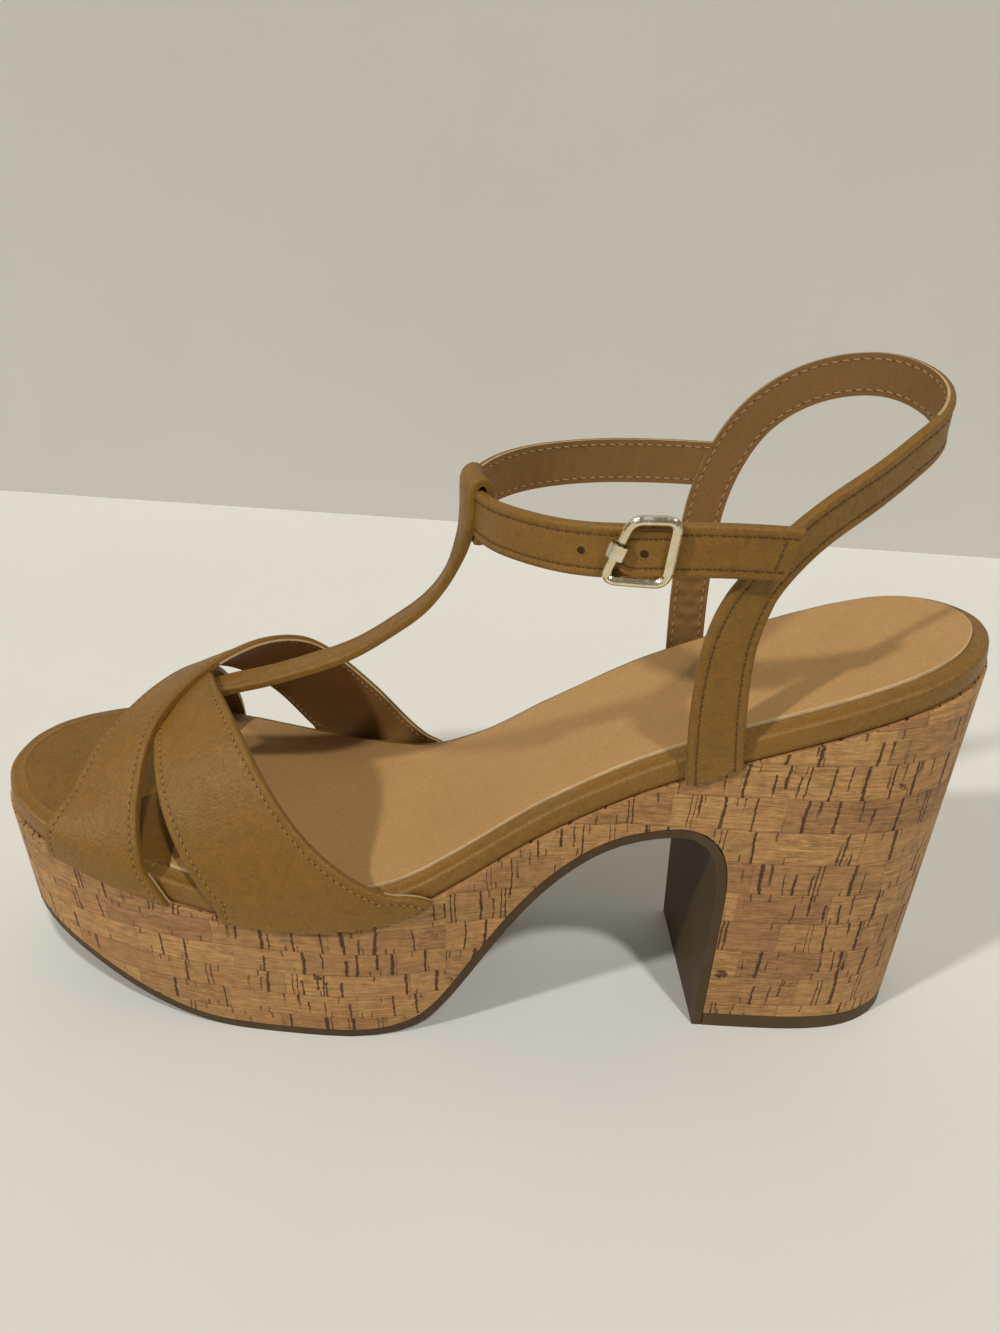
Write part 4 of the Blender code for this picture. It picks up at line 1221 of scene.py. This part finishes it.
class SANDAL_OT_cork(bpy.types.Operator):
    """Cork covering of platform and heel"""
    bl_idname = "sandal.cork"
    bl_label = "Cork Covering"

    def execute(self, context):
        seat, low = level_grid(), level_grid(floor=True)
        seat[..., 2] = cork_top(seat[..., 0])
        # Rows from below the floor, where the underside cuts them off, to a soft top edge
        shares = [*np.linspace(-0.12, 1, 26)[:-1], 1 - 0.45 / 60]
        grids = [low + (seat - low) * share for share in shares]
        grids += [sole_grid(0.14, -0.12), sole_grid(0.5, 0.0)]
        shape = Shape()
        closed_stack(shape, grids)
        cork = shape.object("cork_covering", [material_of("cork")], sharp=60)
        line = underside(OUTSOLE_THICK + GAP / 2)
        top = TOP_LIFT_THICK + GAP / 2
        below = [tuple(p) for p in line if p[0] < 0 or p[1] > top]
        far = LENGTH
        below += [(line[-1, 0], top), (far, top), (far, -far), (-far, -far), (-far, line[0, 1])]
        sides = [[(x - SKEW * (y - SKEW_FROM), y, z) for x, z in below] for y in (-far / 3, far / 3)]
        cut(cork, cutting_body(*sides))
        place(cork, "cork", "cork_platform")
        return {"FINISHED"}


class SANDAL_OT_outsole(bpy.types.Operator):
    """Rubber outsole strip and heel top lift"""
    bl_idname = "sandal.outsole"
    bl_label = "Outsole and Top Lift"

    def execute(self, context):
        dress_solid("outsole", "rubber")
        dress_solid("heel_top_lift", "lift")
        return {"FINISHED"}


class SANDAL_OT_footbed(bpy.types.Operator):
    """Leather rand and sock lining"""
    bl_idname = "sandal.footbed"
    bl_label = "Rand and Sock"

    def execute(self, context):
        self.rand()
        self.sock()
        return {"FINISHED"}

    def rand(self):
        """Wrapped edge: pairs of inset from the cork and rise, up the face, round the fold, to the sock."""
        top = RAND_HEIGHT + GAP
        fold, shoulder = RAND_INSET + 0.15, top - 1.9
        levels = [(RAND_INSET + 0.9, GAP), (RAND_INSET + 0.25, GAP + 0.15), (RAND_INSET, GAP + 0.7),
                  (RAND_INSET - 0.15, 2.0), (RAND_INSET - 0.05, 3.4), (fold, shoulder)]
        for turn in np.linspace(0, math.pi / 2, 7)[1:]:
            levels.append((fold + 1.5 * (1 - math.cos(turn)), shoulder + 1.45 * math.sin(turn)))
        levels += [(RAND_INSET + 2.6, top - 0.30), (SOCK_INSET - 0.9, top + 0.06),
                   (SOCK_INSET - 0.3, top + 0.36), (SOCK_INSET + 0.3, top + 0.10)]
        grids = [sole_grid(inset, rise) for inset, rise in levels]
        for k, grid in enumerate(grids[2:-1]):
            run = grid[..., 0] + 0.6 * grid[..., 1]
            wave = ripple((run, 23.0, 0.4, 0.05), (run, 9.1, 1.9, 0.03), (run, 4.3, 0.7, 0.015))
            grid[..., 2] += wave * ease(k / 4)
        shape = Shape()
        closed_stack(shape, grids)
        place(shape.object("rand_wrap", [material_of("rand")]), "rand_leather", "footbed_rand")

    def sock(self):
        """Thin sheet with a pale edge, cupped under the heel and pressed under the ball."""
        base = RAND_HEIGHT + 2 * GAP
        levels = ((0.0, 0.04 - GAP), (0.0, 0.5), (0.10, 0.66), (0.35, 0.74), (0.9, 0.70), (1.5, 0.78),
                  (2.4, SOCK_THICK))
        grids = [sole_grid(SOCK_INSET + inset, base + rise) for inset, rise in levels]
        top = grids[-1]
        length, side = top[..., 0], top[..., 1] - CENTRE_Y
        cup = 1.1 * hump(length, 88, 26) * (1 - (side / 26) ** 2)
        ball = 0.5 * hump(length, -38, 22) * (1 - (side / 38) ** 2)
        soft = ripple((length + 0.3 * side, 31.0, 0.2, 0.05), (length - 0.5 * side, 17.0, 1.1, 0.035))
        top[..., 2] += np.where(np.abs(side) < 40, soft - np.clip(cup + ball, 0, 2) * 0.25, 0)
        shape = Shape()
        closed_stack(shape, grids, edge_rows=3)
        sock = shape.object("sock_lining", [material_of("sock"), material_of("sock edge")], sharp=50)
        self.trim_front(sock)
        place(sock, "sock_leather", "insole_sock")

    def trim_front(self, sock):
        """Cut the sock's front edge to a bow."""
        end, reach = HEEL_BACK - SOCK_FRONT * LENGTH, LENGTH / 5
        plan = [(end + SOCK_BOW * (1 - math.sin(t)), CENTRE_Y - reach * math.cos(t))
                for t in np.linspace(0, math.pi, 60)]
        plan += [(-LENGTH, reach + CENTRE_Y), (-LENGTH, CENTRE_Y - reach)]
        cut(sock, cutting_body(*([(x, y, z) for x, y in plan] for z in (0.0, LENGTH / 2))))


class SANDAL_OT_vamp(bpy.types.Operator):
    """Crossed vamp straps with lining and stitching"""
    bl_idname = "sandal.vamp"
    bl_label = "Vamp Straps"

    def execute(self, context):
        pitch = context.scene.sandal_leather.stitch_pitch * 0.8
        share = np.linspace(0, 1, VAMP_ROWS + 1)
        pale = np.where((share > PALE_FROM) | (share < PALE_FOOT), 1, 2)
        for name, table, lift, nodes in (("front_vamp", UPPER_STRAP, self.over, ("vamp_and_t_strap",)),
                                         ("rear_vamp", LOWER_STRAP, np.zeros_like, ())):
            strap = vamp_strap(table, lift)
            run, edge = strap.along, strap.edge
            slow = ripple((run, 38.0, 0.5, 0.10), (run + edge * 2, 21.0, 1.3, 0.06),
                          (run - edge * 3, 12.5, 0.2, 0.03))
            sewn_strap(name, strap, pitch, "light thread", pale, slow, slow * 0.6, nodes=nodes)
        return {"FINISHED"}

    def over(self, around):
        """Rise of the front strap where it lies on the rear one."""
        return 1.9 * ease((around - 0.26) / 0.14) * ease((0.80 - around) / 0.14)


class SANDAL_OT_t_strap(bpy.types.Operator):
    """T-strap that folds over the ankle strap"""
    bl_idname = "sandal.t_strap"
    bl_label = "T-strap"

    def execute(self, context):
        leather = context.scene.sandal_leather
        path = smooth_path(T_LINE, 0.9)
        turn = np.gradient(path, axis=0)

        def faces_to(point):
            way = turn[np.argmin(np.linalg.norm(path - point, axis=1))]
            return (-way[2], 0, way[0])

        def width(pts):
            run = run_of(pts)
            wider = LOOP_WIDER * ease((run - WIDENS_FROM) / WIDENS_OVER)
            return T_WIDTH + wider - hump(run, NECK_AT, NECK_SPREAD)

        strap = band(T_LINE, faces_to, width, leather.outer_thick + leather.lining_thick)
        self.turn_loop(strap)
        run, edge = strap.along, strap.edge
        creases = ripple((edge * 3 + run * 0.2, 4.1, 0.3, 0.16)) * hump(run, GATHER_AT, GATHER_SPREAD)
        outer, inner = Shape(), Shape()
        add_outer(outer, strap, leather, creases)
        dressed(outer, "t_strap", ("strap",))
        add_lining(inner, strap, leather, 1)
        dressed(inner, "t_strap_lining", ("lining", "strap"))
        return {"FINISHED"}

    def turn_loop(self, strap):
        """Turn and bend the loop so that it lies round the ankle strap's curve."""
        middle = (strap.seat[:, :1] + strap.seat[:, -1:]) / 2
        reach = np.linalg.norm(strap.seat - middle, axis=2)
        share = ease((strap.along - LOOP_FROM) / 22)
        angle = share * LOOP_TURN
        inward = np.stack([np.cos(angle), np.sin(angle), 0 * angle], axis=-1)
        for vectors, centre in ((strap.seat, LOOP_CENTRE), (strap.normal, (0.0, 0.0))):
            x, y = vectors[..., 0] - centre[0], vectors[..., 1] - centre[1]
            vectors[..., 0] = x * np.cos(angle) - y * np.sin(angle) + centre[0]
            vectors[..., 1] = x * np.sin(angle) + y * np.cos(angle) + centre[1]
        strap.seat += inward * (share * reach ** 2 / (2 * LOOP_BEND))[..., None]
        strap.seat += np.array((*LOOP_MOVE, 0.0)) * share[..., None]


class SANDAL_OT_sling(bpy.types.Operator):
    """Straps that rise from the rand and the sling round the heel"""
    bl_idname = "sandal.sling"
    bl_label = "Sling and Quarter Straps"

    def execute(self, context):
        leather = context.scene.sandal_leather

        def sideways(point):
            rise = np.clip((point[2] - FACE_TURNS_FROM) / 30, 0, 1)
            return ((point[0] - ANKLE_AXIS[0]) * rise, point[1] - ANKLE_AXIS[1], 0.0)

        def taper(pts):
            low = np.clip((RISER_WIDE_TO - pts[:, 2]) / 40, 0, 1) * (pts[:, 1] < 0)
            return SLING_WIDTH + RISER_WIDER * low ** 0.6

        strap = band(SLING_LINE, sideways, taper, leather.outer_thick + leather.lining_thick, stands=True)
        strap = self.from_cork_line(strap)
        run, edge, z = strap.along, strap.edge, strap.seat[..., 2]
        inner_riser = hump(z, RISER_FOLDS_AT, 13) * (strap.seat[..., 1] > 0)
        folds = ripple((z, 3.4, 0.6, 0.17), (z + edge, 5.3, 1.9, 0.15)) * inner_riser
        folds = folds + ripple((run, 4.6, 0.0, 0.07), (run, 7.9, 1.0, 0.06)) * hump(z, HEEL_FOLDS_AT, 7)
        slow = ripple((run, 27.0, 0.4, 0.05), (run + edge * 2, 15.0, 1.0, 0.04))
        pale = np.where((strap.seat[:, 0, 1] > -6) | (z[:, 0] < CORE_SHOWS_TO), 1, 2)
        sewn_strap("sling", strap, leather.stitch_pitch, "thread", pale, slow, folds,
                   nodes=("heel_and_ankle_strap",))
        return {"FINISHED"}

    def from_cork_line(self, strap):
        """Slide the strap's lowest rows up to the cork's top line, and drop those that then lie flat."""
        floor = cork_top(strap.seat[..., 0]) + GAP
        strap.seat[..., 2] = np.maximum(strap.seat[..., 2], floor)
        flat = np.all(strap.seat[..., 2] <= floor + 1e-6, axis=1)
        standing = np.flatnonzero(~flat)
        keep = slice(max(standing[0] - 1, 0), standing[-1] + 2)
        return Strap(strap.seat[keep], strap.normal[keep], strap.edge[keep], strap.along[keep])


class SANDAL_OT_ankle(bpy.types.Operator):
    """Ankle strap with punched holes, stitched end and lining"""
    bl_idname = "sandal.ankle"
    bl_label = "Ankle Strap"

    def execute(self, context):
        leather = context.scene.sandal_leather
        strap = band(ANKLE_LINE, self.outwards, ANKLE_WIDTH, leather.outer_thick + leather.lining_thick,
                     slant=END_SLANT)
        run, edge = strap.along, strap.edge
        bend = run.max() * 0.40
        folds = ripple((run, 3.1, 0.4, 0.16), (run + edge * 0.6, 4.7, 1.2, 0.13)) * hump(run, bend, 22)
        folds = folds + ripple((run, 6.3, 0.2, 0.05)) * ease((bend - run) / 20)
        slow = ripple((run, 24.0, 0.9, 0.05), (run + edge, 13.0, 0.1, 0.03))
        pale = np.where(strap.seat[:, 0, 1] > 2, 1, 2)

        def finish(sewn, top):
            holes = Shape()
            self.stitch_end(sewn, strap, top, leather.stitch_pitch)
            self.punch(holes, strap, top, HOLE_PLACES[0])
            self.tab(leather, sewn, holes)
            dressed(holes, "ankle_strap_holes", ("hole", "strap"))

        sewn_strap("ankle", strap, leather.stitch_pitch, "thread", pale, slow, folds, finish)
        return {"FINISHED"}

    def outwards(self, point):
        """Level way out from the ankle."""
        return (point[0] - ANKLE_AXIS[0], point[1] - ANKLE_AXIS[1], 0.0)

    def stitch_end(self, sewn, strap, surface, pitch):
        """Stitch line across the slanted end over the outer side strap."""
        row = len(strap.seat) - 4
        span = slice(STITCH_COLUMN, strap.seat.shape[1] - STITCH_COLUMN)
        stitches(sewn, surface[row, span], strap.normal[row, span], pitch * 0.8, END_THREAD)

    def punch(self, holes, strap, surface, x):
        """Punched hole at a place on the outer side."""
        middle = strap.seat.shape[1] // 2
        line = surface[:, middle]
        along = unit(np.gradient(line, axis=0))
        row = np.argmin(np.where(line[:, 1] < 0, np.abs(line[:, 0] - x), LENGTH))
        punched_hole(holes, line[row], strap.normal[row, middle], along[row])

    def tab(self, leather, sewn, holes):
        """Rounded leather end that lies on the strap inside the buckle's frame."""
        path = smooth_path(ANKLE_LINE, 0.5)
        first, last = TAB_SPAN
        line = path[(path[:, 1] < 0) & (path[:, 0] > first) & (path[:, 0] < last)]
        out = unit(np.array([self.outwards(p) for p in line]))
        line = line + out * (leather.outer_thick / 2 - leather.lining_thick / 2 - 0.2)

        def width(pts):
            start = np.clip((run_of(pts) + 0.3) / TAB_ROUND, 0, 1)
            return TAB_WIDTH * np.sqrt(1 - (1 - start) ** 2)

        strap = band(line, self.outwards, width, 0.0, spacing=0.35)
        shape = Shape()
        top = add_outer(shape, strap, leather, TAB_PRESSED)
        stitch_edges(sewn, strap, top, leather.stitch_pitch * 0.85)
        self.punch(holes, strap, top, HOLE_PLACES[1])
        dressed(shape, "buckle_tab", ("strap",))


class SANDAL_OT_buckle(bpy.types.Operator):
    """Pale gold buckle frame and the prong's knuckle"""
    bl_idname = "sandal.buckle"
    bl_label = "Buckle"

    def execute(self, context):
        dress_solid("buckle_frame", "metal")
        dress_solid("buckle_prong", "metal")
        return {"FINISHED"}


PIECES = (SANDAL_OT_cork, SANDAL_OT_outsole, SANDAL_OT_footbed, SANDAL_OT_vamp, SANDAL_OT_t_strap,
          SANDAL_OT_sling, SANDAL_OT_ankle, SANDAL_OT_buckle)


class SANDAL_PT_panel(bpy.types.Panel):
    """Sizes, colours and pieces of the sandal"""
    bl_idname = "SANDAL_PT_panel"
    bl_label = "Platform Sandal"
    bl_space_type = "VIEW_3D"
    bl_region_type = "UI"
    bl_category = "Sandal"

    def draw(self, context):
        for group in (context.scene.sandal_leather, context.scene.sandal_cork, context.scene.sandal_stage):
            box = self.layout.box()
            for name in group.bl_rna.properties.keys():
                if name not in ("rna_type", "name"):
                    box.prop(group, name)
        for piece in (SANDAL_OT_stage, *PIECES):
            self.layout.operator(piece.bl_idname)


CLASSES = (SandalLeather, SandalCork, SandalStage, SANDAL_OT_stage, *PIECES, SANDAL_PT_panel)


def register():
    for item in CLASSES:
        bpy.utils.register_class(item)
    bpy.types.Scene.sandal_leather = PointerProperty(type=SandalLeather)
    bpy.types.Scene.sandal_cork = PointerProperty(type=SandalCork)
    bpy.types.Scene.sandal_stage = PointerProperty(type=SandalStage)


def unregister():
    del bpy.types.Scene.sandal_leather, bpy.types.Scene.sandal_cork, bpy.types.Scene.sandal_stage
    for item in reversed(CLASSES):
        bpy.utils.unregister_class(item)


def main():
    register()
    find_shift()
    bpy.ops.sandal.stage()
    for piece in PIECES:
        group, name = piece.bl_idname.split(".")
        getattr(getattr(bpy.ops, group), name)()


if __name__ == "__main__":
    main()
